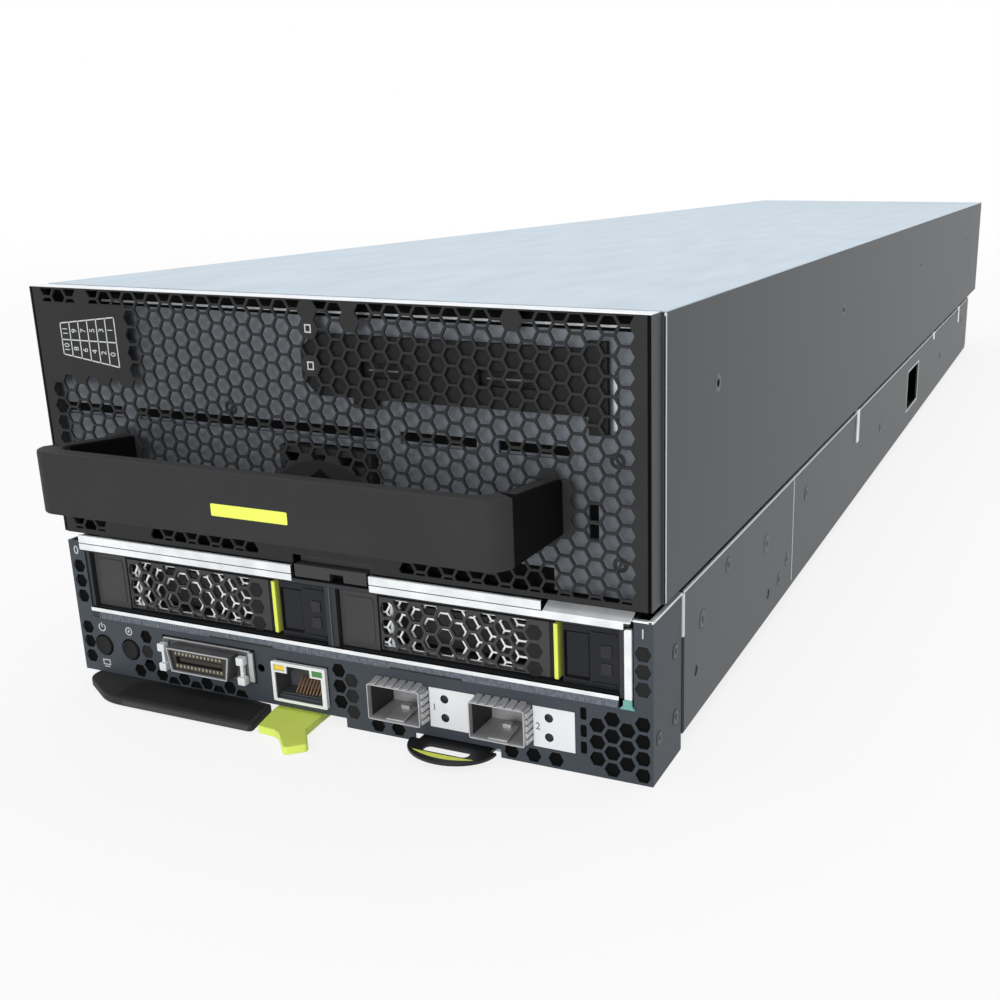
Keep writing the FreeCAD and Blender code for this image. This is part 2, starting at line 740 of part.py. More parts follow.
def memory_modules():
    low = MAIN_BOARD_Z + BOARD + 4
    half = MEMORY_LENGTH / 2
    return Part.makeCompound([slab(x, x + 3, y - half, y + half, low, 36) for x, y in memory_spots()])


def io_board():
    return slab(from_left(4), from_left(86), 3, 112, FLOOR + SHEET, 6.4)


def nic_board():
    return slab(from_left(95), from_left(152), 3, 112, FLOOR + SHEET, CAGE_Z[0])


def button_board():
    """Small upright board with one switch behind each front button."""
    board = slab(from_left(4), from_left(25), 8, 8 + BOARD, 6.4, 18)
    switches = []
    for distance in BUTTON_CENTRES:
        x = from_left(distance)
        switches.append(slab(x - 2, x + 2, 7.4, 8, BUTTON_HEIGHT - 2, BUTTON_HEIGHT + 2))
    return joined([board] + switches)


def front_button(centre):
    """Round push button with a square collar that keeps it behind the panel, and a square stem."""
    x = from_left(centre)
    half = BUTTON_RADIUS + 1.05
    stem = BUTTON_STEM
    seat = PANEL_BACK + 0.1
    cap = rod_y(x, BUTTON_HEIGHT, BUTTON_RADIUS, 0.1, seat)
    collar = slab(x - half, x + half, seat, 3, BUTTON_HEIGHT - half, BUTTON_HEIGHT + half)
    plunger = slab(x - stem, x + stem, 3, 6.4, BUTTON_HEIGHT - stem, BUTTON_HEIGHT + stem)
    return joined([cap, collar, plunger])


def kvm_connector():
    """Wide data connector: flange, D-shaped nose, two latch lugs each side and a body."""
    left = from_left(KVM_X[0])
    right = from_left(KVM_X[1])
    middle = (left + right) / 2
    low, high = KVM_Z
    flange = slab(left, right, 0, 1.0, low, high)
    nose = [(middle - 10, 9.3), (middle + 10, 9.3), (middle + 11, 15.7), (middle - 11, 15.7)]
    mouth = [(middle - 9.5, 9.8), (middle + 9.5, 9.8), (middle + 10.4, 15.2), (middle - 10.4, 15.2)]
    shell = prism_xz(nose, CAGE_NOSE, 0)
    body = slab(middle - 12, middle + 12, 1.0, 16, low, high)
    foot = slab(middle - 12, middle + 12, PANEL_BACK + 0.1, 16, 6.4, low)
    lugs = []
    for x in (left + 0.4, right - 3.0):
        for z in (low + 0.4, high - 2.8):
            lugs.append(slab(x, x + 2.6, -1.8, 0, z, z + 2.4))
    solid = joined([flange, shell, body, foot] + lugs)
    return solid.cut(prism_xz(mouth, CAGE_NOSE, 1.0))


def kvm_tongue():
    """Contact tongue inside the data connector."""
    middle = from_left((KVM_X[0] + KVM_X[1]) / 2)
    return slab(middle - 8.6, middle + 8.6, CAGE_NOSE + 0.6, 1.0, 11.8, 13.2)


def mgmt_jack():
    """Modular network jack with a keyed mouth."""
    left = from_left(JACK_X[0])
    right = from_left(JACK_X[1])
    middle = (left + right) / 2
    frame = slab(left, right, -0.8, PANEL_FACE, *JACK_Z)
    body = slab(left + 0.4, right - 0.4, PANEL_FACE, 20, 6.4, JACK_Z[1] - 0.3)
    mouth = [
        (middle - 5.9, 6.6),
        (middle + 5.9, 6.6),
        (middle + 5.9, 13.2),
        (middle + 3.1, 13.2),
        (middle + 3.1, 14.8),
        (middle - 3.1, 14.8),
        (middle - 3.1, 13.2),
        (middle - 5.9, 13.2),
    ]
    return joined([frame, body]).cut(prism_xz(mouth, -1, 14))


def sfp_cage(distance):
    """Folded metal cage of one pluggable network port, open at the front."""
    x0 = from_left(distance)
    x1 = x0 + CAGE_WIDTH
    back = CAGE_NOSE + CAGE_LENGTH
    shell = slab(x0, x1, CAGE_NOSE, back, *CAGE_Z)
    wall = CAGE_WALL
    inside = slab(x0 + wall, x1 - wall, CAGE_NOSE, back - wall, CAGE_Z[0] + wall, CAGE_Z[1] - wall)
    return shell.cut(inside)


def port_plate():
    """Pale plate round the two cages."""
    x0 = from_left(PORT_PLATE_X[0])
    x1 = from_left(PORT_PLATE_X[1])
    gap = 0.1
    mouths = []
    for distance in CAGE_LEFTS:
        x = from_left(distance)
        mouths.append(rect(x - gap, x + CAGE_WIDTH + gap, CAGE_Z[0] - gap, PORT_PLATE_Z[1] - 0.05))
    return prism_xz(rect(x0, x1, *PORT_PLATE_Z), PANEL_FACE, PANEL_FACE + 1.0, mouths)


def bay_backplane():
    """Board across the back of the drive bay, with one connector per carrier."""
    board = slab(BAY_X[0] + 0.3, BAY_X[1] - 0.3, BAY_DEPTH, BAY_DEPTH + BOARD, BAY_Z[0], LID_Z - 0.2)
    plugs = []
    for left in CARRIER_LEFTS:
        middle = left + CARRIER_WIDTH / 2
        plugs.append(slab(middle - 21, middle + 21, BAY_DEPTH - 7, BAY_DEPTH, 24, 30))
    return joined([board] + plugs)


def rear_connector(x0, x1, slots):
    """Blind-mate connector block that looks out of a rear window."""
    wall = CHASSIS_DEPTH - SHEET
    block = slab(x0, x1, 655, 690, 11, 29)
    flange = slab(x0 - 4, x1 + 4, wall - 1.5, wall, 8, 32)
    pitch = (x1 - x0) / slots
    cuts = [slab(x0 + (i + 0.3) * pitch, x0 + (i + 0.7) * pitch, 682, 691, 14, 26) for i in range(slots)]
    return joined([block, flange]).cut(Part.makeCompound(cuts))


def guide_sockets():
    """Sockets that lead the node onto the guide pins of its enclosure."""
    wall = CHASSIS_DEPTH - SHEET
    half = SOCKET_HALF
    rim = 9.0
    block = slab(SOCKET_X - half, SOCKET_X + half, 664, SOCKET_MOUTH, SOCKET_Z - half, SOCKET_Z + half)
    flange = slab(SOCKET_X - rim, SOCKET_X + rim, wall - 1.5, wall, SOCKET_Z - rim, SOCKET_Z + rim)
    bore = rod_y(SOCKET_X, SOCKET_Z, SOCKET_BORE, SOCKET_MOUTH - SOCKET_LENGTH, SOCKET_MOUTH)
    return pair(joined([block, flange]).cut(bore))


def bay_clip():
    """Coloured plastic foot at the right end of the bay sill."""
    outline = [
        (from_left(163.9), BAND_TOP),
        (from_left(167.8), BAND_TOP),
        (from_left(167.0), 20.2),
        (from_left(167.0), 21.5),
        (from_left(164.8), 21.5),
        (from_left(164.8), 20.2),
    ]
    return prism_xz(outline, -0.3, PANEL_FACE)


# Drive carriers


def carrier(index):
    """Carrier frame: blank pad, lever recess, button block, side rails and a back plate."""
    x = CARRIER_LEFTS[index]
    right = x + CARRIER_WIDTH
    low, high = CARRIER_Z
    face = CARRIER_FACE
    depth = face + 8
    pad = slab(x, x + LEVER_START - 0.4, face, depth, low, high)
    block = slab(x + BLOCK_START, right, face, depth, low, high)
    gap = RUNNING_GAP
    pocket_x = (x + BUTTON_X[0] - gap, x + BUTTON_X[1] + gap)
    pocket = slab(*pocket_x, face, depth - 0.6, BUTTON_Z[0] - gap, BUTTON_Z[1] + gap)
    back = slab(x, right, depth, depth + 1.2, low, high)
    vent = slab(x + 16, x + 56, depth - 1, depth + 2, 32.4, high - 1.5)
    rail = slab(x, x + 1.6, depth + 1.2, 112, low, 32)
    rail_right = slab(right - 1.6, right, depth + 1.2, 112, low, 32)
    floor = slab(x + 1.6, right - 1.6, depth + 1.2, 112, low, low + 0.8)
    ears = [slab(x + LEVER_START - 0.4, x + 18, face + 2, depth, z, z + 0.3) for z in (low, high - 0.3)]
    pieces = [pad, block, back, rail, rail_right, floor] + ears
    hole = rod_z(x + LEVER_PIVOT, face + LEVER_THICK / 2, LEVER_PIN, low - 1, high + 1)
    return joined(pieces).cut(Part.makeCompound([pocket, vent, hole]))


def carrier_drive(index):
    """Slim 2.5 inch drive lying in its carrier."""
    x = CARRIER_LEFTS[index] + (CARRIER_WIDTH - 69.85) / 2
    low = CARRIER_Z[0] + 0.8
    return slab(x, x + 69.85, 12, 112.2, low, low + 7)


def lever_pin(index):
    """Pivot pin of the carrier lever, pressed into the carrier's two ears."""
    x = CARRIER_LEFTS[index] + LEVER_PIVOT
    return rod_z(x, CARRIER_FACE + LEVER_THICK / 2, LEVER_PIN, *CARRIER_Z)


def carrier_lever(index):
    """Perforated lever that swings out to pull the carrier, with a round hinge end."""
    x = CARRIER_LEFTS[index]
    front = CARRIER_FACE
    back = front + LEVER_THICK
    low, high = LEVER_Z
    pivot_x = x + LEVER_PIVOT
    pivot_y = (front + back) / 2
    mesh = hex_field((x + 15.6, x + 53.0), (low + 0.4, high - 0.4), MESH_PITCH, MESH_HOLE)
    plate = prism_xz(rect(pivot_x, x + LEVER_END, low, high), front, back, mesh)
    barrel = rod_z(pivot_x, pivot_y, LEVER_THICK / 2, low, high)
    blind = [hexagon(x + 56.2, z, MESH_HOLE) for z in (25.4, 30.1, 34.8)]
    dimples = [prism_xz(outline, front, front + 1) for outline in blind]
    bore = rod_z(pivot_x, pivot_y, LEVER_PIN + PIN_CLEARANCE, low, high)
    return joined([plate, barrel]).cut(Part.makeCompound(dimples + [bore]))


def lever_stripe(index):
    """Coloured grip strip on the free end of the lever."""
    x = CARRIER_LEFTS[index] + LEVER_END
    return slab(x, x + STRIPE_WIDTH, CARRIER_FACE - 0.4, CARRIER_FACE + LEVER_THICK, *LEVER_Z)


def release_button(index):
    """Square release button of the carrier, moving in its pocket."""
    x = CARRIER_LEFTS[index]
    face = CARRIER_FACE + 0.2
    return slab(x + BUTTON_X[0], x + BUTTON_X[1], face, face + 4.5, *BUTTON_Z)


# Front edge: ejector lever, latch and label card


def ejector_lever():
    """Long flat lever under the left of the panel."""
    outline = [
        (from_left(4.6), 10.5, 3),
        (from_left(4.6), -3.0, 5),
        (from_left(18.5), -11.0, 16),
        (from_left(66.6), -11.0, 1.0),
        (from_left(63.9), 0.5, 1.0),
        (from_left(22.0), 4.5, 6),
        (from_left(19.0), 10.5, 3),
    ]
    bore = rod_z(from_left(EJECT_PIVOT[0]), EJECT_PIVOT[1], EJECT_PIN + PIN_CLEARANCE, 0, 3)
    return plate_xy(outline, *EJECT_Z).cut(bore)


def ejector_latch():
    """Coloured thumb latch beside the free end of the ejector lever."""
    outline = [
        (from_left(65.6), 8.5, 2),
        (from_left(66.0), -1.4, 0),
        (from_left(68.2), -10.6, 0.8),
        (from_left(73.4), -11.0, 0.6),
        (from_left(75.6), -11.9, 0),
        (from_left(81.8), -18.0, 1.2),
        (from_left(86.4), -14.2, 1.0),
        (from_left(81.0), -7.6, 2.0),
        (from_left(80.2), -0.6, 0),
        (from_left(79.6), 8.5, 2),
    ]
    bore = rod_z(from_left(HOOK_PIVOT[0]), HOOK_PIVOT[1], EJECT_PIN + PIN_CLEARANCE, 0, 3)
    return plate_xy(outline, *EJECT_Z).cut(bore)


def eject_pins():
    """Hexagon-headed shoulder pins under the floor for the ejector lever and its latch."""
    pins = []
    for distance, y in (EJECT_PIVOT, HOOK_PIVOT):
        x = from_left(distance)
        shank = rod_z(x, y, EJECT_PIN, 0.25, FLOOR)
        head = hex_post(x, y, 2 * EJECT_PIN + 2, 0, 0.25)
        pins.append(joined([shank, head]))
    return Part.makeCompound(pins)


def label_card():
    """Slide-out card with a half-oval pull ring."""
    x0 = from_left(CARD_X[0])
    x1 = from_left(CARD_X[1])
    middle = (x0 + x1) / 2
    card = slab(x0, x1, RING_ROOT, CARD_BACK, *CARD_Z)
    steps = 16
    angles = [math.pi * (1 + i / steps) for i in range(steps + 1)]
    oval = [(middle + RING_HALF * math.cos(a), RING_ROOT + RING_REACH * math.sin(a), 0) for a in angles]
    gap = 1.6
    half = 6.3
    hole = [
        (middle - half, RING_ROOT - gap, 1.4),
        (middle - half, RING_ROOT - gap - 3.0, 1.4),
        (middle + half, RING_ROOT - gap - 3.0, 1.4),
        (middle + half, RING_ROOT - gap, 1.4),
    ]
    ring = plate_xy(oval, *RING_Z).cut(plate_xy(hole, RING_Z[0] - 1, RING_Z[1] + 1))
    return joined([card, ring])


def card_guide():
    """Channel under the floor in which the label card slides."""
    x0 = from_left(CARD_X[0]) - RUNNING_GAP
    x1 = from_left(CARD_X[1]) + RUNNING_GAP
    lip = 2.0
    section = [
        (x0 - SHEET, 0),
        (x0 + lip, 0),
        (x0 + lip, CARD_Z[0] - RUNNING_GAP),
        (x0, CARD_Z[0] - RUNNING_GAP),
        (x0, CARD_Z[1] + RUNNING_GAP),
        (x1, CARD_Z[1] + RUNNING_GAP),
        (x1, CARD_Z[0] - RUNNING_GAP),
        (x1 - lip, CARD_Z[0] - RUNNING_GAP),
        (x1 - lip, 0),
        (x1 + SHEET, 0),
        (x1 + SHEET, FLOOR),
        (x0 - SHEET, FLOOR),
    ]
    return prism_xz(section, 3, CARD_BACK + 4)


def save(name, shape):
    shape.translate(V(0, FRONT_Y, 0))
    shape.exportStep("parts/" + name + ".step")


def main():
    os.makedirs("parts", exist_ok=True)
    single_pieces = (
        drawer_bezel, top_rail, drawer_tray, drawer_cover, pull_handle, handle_inlay, latch_housing,
        drawer_latch, hard_drives, drive_frame, drawer_backplane, indicator_plate, slide_outer,
        slide_middle, slide_inner, base_tray, front_panel, bay_frame, chassis_lid, lid_hooks,
        main_board, board_standoffs, processors, heat_sinks, memory_sockets, memory_modules,
        io_board, nic_board, button_board, kvm_connector, kvm_tongue, mgmt_jack, port_plate,
        bay_backplane, guide_sockets, bay_clip, ejector_lever, ejector_latch, eject_pins,
        label_card, card_guide,
    )
    for make in single_pieces:
        save(make.__name__, make())
    for make in (carrier, carrier_drive, lever_pin, carrier_lever, lever_stripe, release_button):
        for index in range(len(CARRIER_LEFTS)):
            save(f"{make.__name__}_{index}", make(index))
    for index, distance in enumerate(CAGE_LEFTS):
        save(f"sfp_cage_{index}", sfp_cage(distance))
    save("power_button", front_button(BUTTON_CENTRES[0]))
    save("locate_button", front_button(BUTTON_CENTRES[1]))
    save("power_connector", rear_connector(-58, -12, 8))
    save("signal_connector", rear_connector(12, 58, 11))


main()
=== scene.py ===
import json
import math

import bmesh
import bpy
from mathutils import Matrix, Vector


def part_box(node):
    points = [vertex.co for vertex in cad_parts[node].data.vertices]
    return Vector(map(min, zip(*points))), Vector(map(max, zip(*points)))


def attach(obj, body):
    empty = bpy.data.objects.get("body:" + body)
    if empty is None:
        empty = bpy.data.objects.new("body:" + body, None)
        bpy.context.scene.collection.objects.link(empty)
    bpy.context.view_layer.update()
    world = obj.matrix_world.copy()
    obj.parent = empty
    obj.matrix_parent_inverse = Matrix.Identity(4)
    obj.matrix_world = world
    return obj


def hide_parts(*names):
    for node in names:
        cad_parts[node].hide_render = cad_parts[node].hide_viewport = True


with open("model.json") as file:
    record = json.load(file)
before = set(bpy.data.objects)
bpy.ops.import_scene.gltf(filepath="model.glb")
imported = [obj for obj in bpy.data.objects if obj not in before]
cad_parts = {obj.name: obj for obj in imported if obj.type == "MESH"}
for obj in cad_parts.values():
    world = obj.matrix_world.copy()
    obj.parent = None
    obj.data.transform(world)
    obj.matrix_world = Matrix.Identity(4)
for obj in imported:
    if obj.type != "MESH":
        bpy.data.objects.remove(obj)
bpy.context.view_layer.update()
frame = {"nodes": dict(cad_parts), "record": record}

MM = 0.001
ROOT_3 = math.sqrt(3)
SHARP_ANGLE = math.radians(35)
SOFT_ANGLE = math.radians(30)
BUMP_DEPTH = 0.2 * MM
NODES = frame["nodes"]
RECORD = frame["record"]
BODY_OF = {n: body for body, names in RECORD["behaviour"]["bodies"].items() for n in names}
SLOT_OF = {s["node"]: s["material_slot"] for s in RECORD["subparts"]}

# Places on the front are given in millimetres: u from the left edge of the grille, v back from its
# face, w up from the surface that the node stands on.
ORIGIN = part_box("drawer_bezel")[0]
LEFT, FRONT = ORIGIN.x, ORIGIN.y


def panel_box(node):
    """Box of a CAD node in panel millimetres: u0, u1, v0, v1, w0, w1."""
    low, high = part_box(node)
    across = [(x - LEFT) / MM for x in (low.x, high.x)]
    back = [(y - FRONT) / MM for y in (low.y, high.y)]
    return *across, *back, low.z / MM, high.z / MM


WIDTH = panel_box("drawer_bezel")[1]
BEZEL_W = panel_box("drawer_bezel")[4:]
RAIL_TOP = panel_box("top_rail")[5]
COVER_END = panel_box("drawer_cover")[3]
RETURN_DEPTH = 6.3
SIDE_SHEET = 0.8

# Grille: thin sheet between two side skins; rows and flats of its hexagons
GRILLE_SHEET = 0.6
GRILLE_PITCH = 4.405
GRILLE_FLATS = 3.74
GRILLE_U = (3.2, 168.6)
GRILLE_W = (45.1, 109.7)
GRILLE_ANCHOR = (32.4, 103.24)
GRILLE_NOTCH = (75.4, 98.1, 46.2)
GRILLE_INK = (-0.03, 0.05)
SKIN = 0.25
SKIN_GAP = 0.8
LABEL_RIGHT = 30.4
LABEL_W = (87, 106.4)
PLAIN_TABS = (17.1, 85.8, 97.3, 139.2)
LAMP_MARKS = ((85.8, 103.24), (85.8, 94.43))
LATCH_PANEL = (66, 108.5, 52.5)
LATCH_WINDOW = (79, 93, 55.5, 62.5)
THUMB_MIDDLE = 86.2
HANDLE_U = (24, 150.6)
HANDLE_W = (59.7, 75.2)
HANDLE_REACH = 28.5
HANDLE_ARM = 5
HANDLE_BAR = 4.2
HANDLE_RADIUS = 5.5
HANDLE_FILLET = 4
HANDLE_TAPER = 2.4
SHELF_W = (76, 77)
SHELF_RIGHT = 158.8

# Port panel; cut-outs as u0, u1, w0, w1
PANEL_FACE = 0.5
PANEL_BACK = 1
PANEL_TOP = 41.06
PANEL_BAND = 19.2
PANEL_LOW = 2.6
PANEL_STEP = 87.4
PANEL_EARS = (5.4, 167.2)
PANEL_INK = (0.46, 0.55)
CARD_NOTCH = (107.9, 132.1, 2.3)
DATA_CUT = (29.2, 59.8, 7.7, 17.3)
JACK_CUT = (66.7, 82.8, 6.2, 16.1)
CAGE_CUT = (94.2, 152.3, 4.9, 15.9)
VENT_FLATS = 3.6
VENT_PITCH = 4.39
BUTTON_W = 10.9
BUTTON_U = {"power_button": 8, "locate_button": 17.4}

# Carriers
CARRIER_LEFT = [panel_box(f"carrier_{i}")[0] for i in range(2)]
CARRIER_FACE = panel_box("carrier_0")[2]
CARRIER_PITCH = 4.67
CARRIER_FLATS = 3.84
LEVER_SPAN = (11.5, 58.2)
LEVER_END = 59.4
LEVER_W = (23, 37.2)
LEVER_DEPTH = 4
LEVER_FLANGE = 0.7
HINGE_OFFSET = 14
STRIPE_WIDTH = 1.1
MESH_FIRST = 13.7
MESH_COLUMNS = 10
MESH_MIDDLE_W = 29.25
INNER_RATIO = 0.875
INNER_WIRE = 0.5
INNER_DEPTH = 0.85
INNER_ANCHOR = (29.45, 28.8)

# Sides; heads as radius (share of the head's) and height
SCREW_V = (44, 198, 400, 625)
SCREW_W = 88.2
SCREW_HEAD = ((0, -0.5), (1, -0.5), (1, 0), (0.86, 0.08), (0.45, 0.05), (0.3, -0.3), (0, -0.35))
RIVET_RIM = ((0, -0.3), (1, -0.3), (1, 0.1), (0.9, 0.2), (0.62, 0.2))
RIVET_HEAD = RIVET_RIM + ((0.55, 0.06), (0.34, 0.06), (0.26, -0.2), (0, -0.22))

# Camera: place in panel millimetres, turn in degrees
CAMERA_PLACE = (255.56, -221.63, 140.46)
CAMERA_TURN = (74.12, 0.11, 20.73)
CAMERA_LENS = 41.11
CAMERA_SHIFT = (-0.1502, -0.0126)


# Places and outlines


def row(u, v, w):
    """Panel millimetres to row metres."""
    return Vector((LEFT + u * MM, FRONT + v * MM, w * MM))


# Sheet coordinates to the row: facing forward, lying level, or on the right or left side
def facing(u, w, depth):
    return row(u, depth, w)


lying = row


def right_side(v, w, depth):
    return row(WIDTH + depth, v, w)


def left_side(v, w, depth):
    return row(-depth, v, w)


SIDES = ((right_side, (1, 0, 0)), (left_side, (-1, 0, 0)))


def rect(a0, a1, b0, b1):
    return [(a0, b0), (a1, b0), (a1, b1), (a0, b1)]


def notched(a0, a1, b0, b1, notch):
    """Rectangle with a notch (start, end, top) in its lower edge."""
    start, end, top = notch
    return [(a0, b0), (start, b0), (start, top), (end, top), (end, b0), (a1, b0), (a1, b1), (a0, b1)]


def arc(a, b, radius, first, last, steps):
    """Points along an arc from one angle to another, in degrees."""
    angles = [math.radians(first + (last - first) * i / steps) for i in range(steps + 1)]
    return [(a + radius * math.cos(angle), b + radius * math.sin(angle)) for angle in angles]


def circle(a, b, radius, count=24):
    return arc(a, b, radius, 0, 360, count)[:-1]


def hexagon(a, b, flats):
    """Flat-topped hexagon."""
    return circle(a, b, flats / ROOT_3, 6)


def rounded(a0, a1, b0, b1, radius, steps=4):
    """Rectangle with quarter-round corners."""
    points = []
    for quarter, (a, b) in enumerate(rect(a1 - radius, a0 + radius, b1 - radius, b0 + radius)):
        points += arc(a, b, radius, 90 * quarter, 90 * quarter + 90, steps)
    return points


def steps_within(span, start, pitch):
    """Numbers of the steps from a start that fall within a span."""
    return range(math.ceil((span[0] - start) / pitch), math.floor((span[1] - start) / pitch) + 1)


def lattice(a_span, b_span, pitch, anchor):
    """Centres of staggered columns of hexagons, one of them at the anchor."""
    column = pitch * ROOT_3 / 2
    centres = []
    for i in steps_within(a_span, anchor[0], column):
        start = anchor[1] + 0.5 * pitch * (i % 2)
        centres += [(anchor[0] + i * column, start + j * pitch) for j in steps_within(b_span, start, pitch)]
    return centres


def clipped(outline, b_span):
    """Outline cut off level at the top and bottom of a span."""
    result = []
    for i, (a, b) in enumerate(outline):
        c, d = outline[(i + 1) % len(outline)]
        if b_span[0] <= b <= b_span[1]:
            result.append((a, b))
        for edge in sorted(b_span, key=lambda e: abs(e - b)):
            if (b - edge) * (d - edge) < 0:
                result.append((a + (c - a) * (edge - b) / (d - b), edge))
    return result


def trimmed(outline, a_span, b_span):
    """Outline cut off straight on all four sides."""
    turned = [(b, a) for a, b in clipped(outline, b_span)]
    return [(a, b) for b, a in clipped(turned, a_span)]


# Meshes


def shown(name, data):
    """New object in the scene."""
    obj = bpy.data.objects.new(name, data)
    bpy.context.scene.collection.objects.link(obj)
    return obj


def from_curve(curve):
    """Mesh of a curve or text as a bmesh; the curve is used up."""
    holder = shown(curve.name, curve)
    bpy.context.view_layer.update()
    evaluated = holder.evaluated_get(bpy.context.evaluated_depsgraph_get())
    made = bpy.data.meshes.new_from_object(evaluated)
    bm = bmesh.new()
    bm.from_mesh(made)
    bpy.data.objects.remove(holder)
    bpy.data.curves.remove(curve)
    bpy.data.meshes.remove(made)
    bmesh.ops.remove_doubles(bm, verts=bm.verts, dist=1e-4)
    return bm


def sheet(outline, holes, near, far, edge=0.12, place=facing):
    """Closed plate with holes and softened edges, as a bmesh in the row."""
    curve = bpy.data.curves.new("outline", "CURVE")
    curve.dimensions = "2D"
    curve.fill_mode = "BOTH"
    curve.extrude = abs(far - near) / 2 - edge
    curve.bevel_depth = edge
    curve.bevel_resolution = 1
    curve.offset = -edge
    for points in [outline] + list(holes):
        spline = curve.splines.new("POLY")
        spline.points.add(len(points) - 1)
        spline.use_cyclic_u = True
        for point, (a, b) in zip(spline.points, points):
            point.co = (a, b, 0, 1)
    bm = from_curve(curve)
    for vert in bm.verts:
        vert.co = place(vert.co.x, vert.co.y, (near + far) / 2 + vert.co.z)
    return bm


def framed(a0, a1, b0, b1, line, near, far, edge=0.005, place=facing):
    """Rectangular frame of one line width."""
    inside = rect(a0 + line, a1 - line, b0 + line, b1 - line)
    return sheet(rect(a0, a1, b0, b1), [inside], near, far, edge, place)


def stroke(start, end, width, near, far):
    """Thin straight printed line."""
    a, b = Vector(start), Vector(end)
    along = (b - a).normalized() * width / 2
    across = Vector((-along.y, along.x))
    corners = (a - along - across, b + along - across, b + along + across, a - along + across)
    return sheet([tuple(c) for c in corners], [], near, far, 0.005)


def digits(text, size, u, w, face, sideways=False, height=0.03):
    """Plain numerals as a thin raised print in the middle of a place, upright or on their side."""
    curve = bpy.data.curves.new("digits", "FONT")
    curve.body = text
    curve.size = size
    curve.align_x = "CENTER"
    curve.align_y = "CENTER"
    curve.extrude = height / 2
    bm = from_curve(curve)
    for vert in bm.verts:
        a, b, depth = vert.co
        if sideways:
            a, b = -b, a
        vert.co = row(u + a, face - depth, w + b)
    return bm


def wedge(u0, u1, near, far, edge=0.1, segments=1):
    """Slanted box with softened edges: near and far are (v, w0, w1) at its two ends."""
    bm = bmesh.new()
    bmesh.ops.create_cube(bm, size=1)
    for vert in bm.verts:
        right, behind, above = [value > 0 for value in vert.co]
        v, low, high = far if behind else near
        vert.co = row(u1 if right else u0, v, high if above else low)
    if edge:
        bmesh.ops.bevel(bm, geom=bm.edges, offset=edge * MM, segments=segments, profile=0.5, affect="EDGES")
    return bm


def block(u0, u1, v0, v1, w0, w1, edge=0.15, segments=2):
    """Box with rounded edges."""
    return wedge(u0, u1, (v0, w0, w1), (v1, w0, w1), edge, segments)


def blocks(edge, *boxes):
    """Boxes with the same edge rounding."""
    return [block(*box, edge) for box in boxes]


def lathe(profile, centre, axis, count=32):
    """Closed turned shape: (radius, height) points along an axis from a centre, in millimetres."""
    bm = bmesh.new()
    turn = Vector((0, 0, 1)).rotation_difference(Vector(axis)).to_matrix()
    rings = []
    for radius, height in profile:
        spots = circle(0, 0, radius, count) if radius else [(0, 0)]
        rings.append([bm.verts.new(centre + turn @ (Vector((a, b, height)) * MM)) for a, b in spots])
    for below, above in zip(rings, rings[1:]):
        for i in range(count):
            j = (i + 1) % count
            corners = [ring[k % len(ring)] for ring, k in ((below, i), (below, j), (above, j), (above, i))]
            unique = list(dict.fromkeys(corners))
            if len(unique) > 2:
                bm.faces.new(unique)
    bmesh.ops.remove_doubles(bm, verts=bm.verts, dist=1e-7)
    return bm


def head(profile, centre, axis, radius):
    """Turned head of a screw or rivet."""
    return lathe([(radius * share, height) for share, height in profile], centre, axis, 20)


def piece(name, parts, slot, material, *stands_for, body="chassis"):
    """Shown object made of one or more bmeshes, riding on a body in place of any CAD nodes named."""
    mesh = bpy.data.meshes.new(name)
    whole = bmesh.new()
    for bm in parts:
        bm.to_mesh(mesh)
        whole.from_mesh(mesh)
        bm.free()
    bmesh.ops.recalc_face_normals(whole, faces=whole.faces)
    whole.to_mesh(mesh)
    whole.free()
    for polygon in mesh.polygons:
        polygon.use_smooth = True
    mesh.set_sharp_from_angle(angle=SHARP_ANGLE)
    mesh.materials.append(MATERIAL[material])
    obj = shown(name, mesh)
    flats = obj.modifiers.new("flats", "WEIGHTED_NORMAL")
    flats.keep_sharp = True
    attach(obj, body)
    if stands_for:
        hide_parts(*stands_for)


def on_drawer(*given):
    """Piece that rides on the drawer."""
    piece(*given, body="drawer")


def softened(node, material, width):
    """Copy of a CAD node with its sharp edges rounded, shown in the node's place."""
    bm = bmesh.new()
    bm.from_mesh(NODES[node].data)
    bmesh.ops.remove_doubles(bm, verts=bm.verts, dist=1e-6)
    bmesh.ops.dissolve_limit(bm, angle_limit=math.radians(1), verts=bm.verts, edges=bm.edges)
    sharp = [e for e in bm.edges if e.is_manifold and e.calc_face_angle() > SOFT_ANGLE]
    bmesh.ops.bevel(
        bm, geom=sharp, offset=width * MM, segments=2, profile=0.5, affect="EDGES", clamp_overlap=True
    )
    piece(node + "_soft", [bm], SLOT_OF[node], material, node, body=BODY_OF[node])


# Materials


def feed(tree, node, values):
    """Set sockets of a shader node, or link them where the value is another socket."""
    for name, value in values.items():
        if isinstance(value, bpy.types.NodeSocket):
            tree.links.new(value, node.inputs[name])
        else:
            node.inputs[name].default_value = value
    return node


def added(tree, kind, values):
    """New shader node with its sockets fed."""
    return feed(tree, tree.nodes.new("ShaderNode" + kind), values)


def combined(tree, operation, first, second):
    """Output of a maths node on two sockets."""
    node = added(tree, "Math", {0: first, 1: second})
    node.operation = operation
    return node.outputs["Value"]


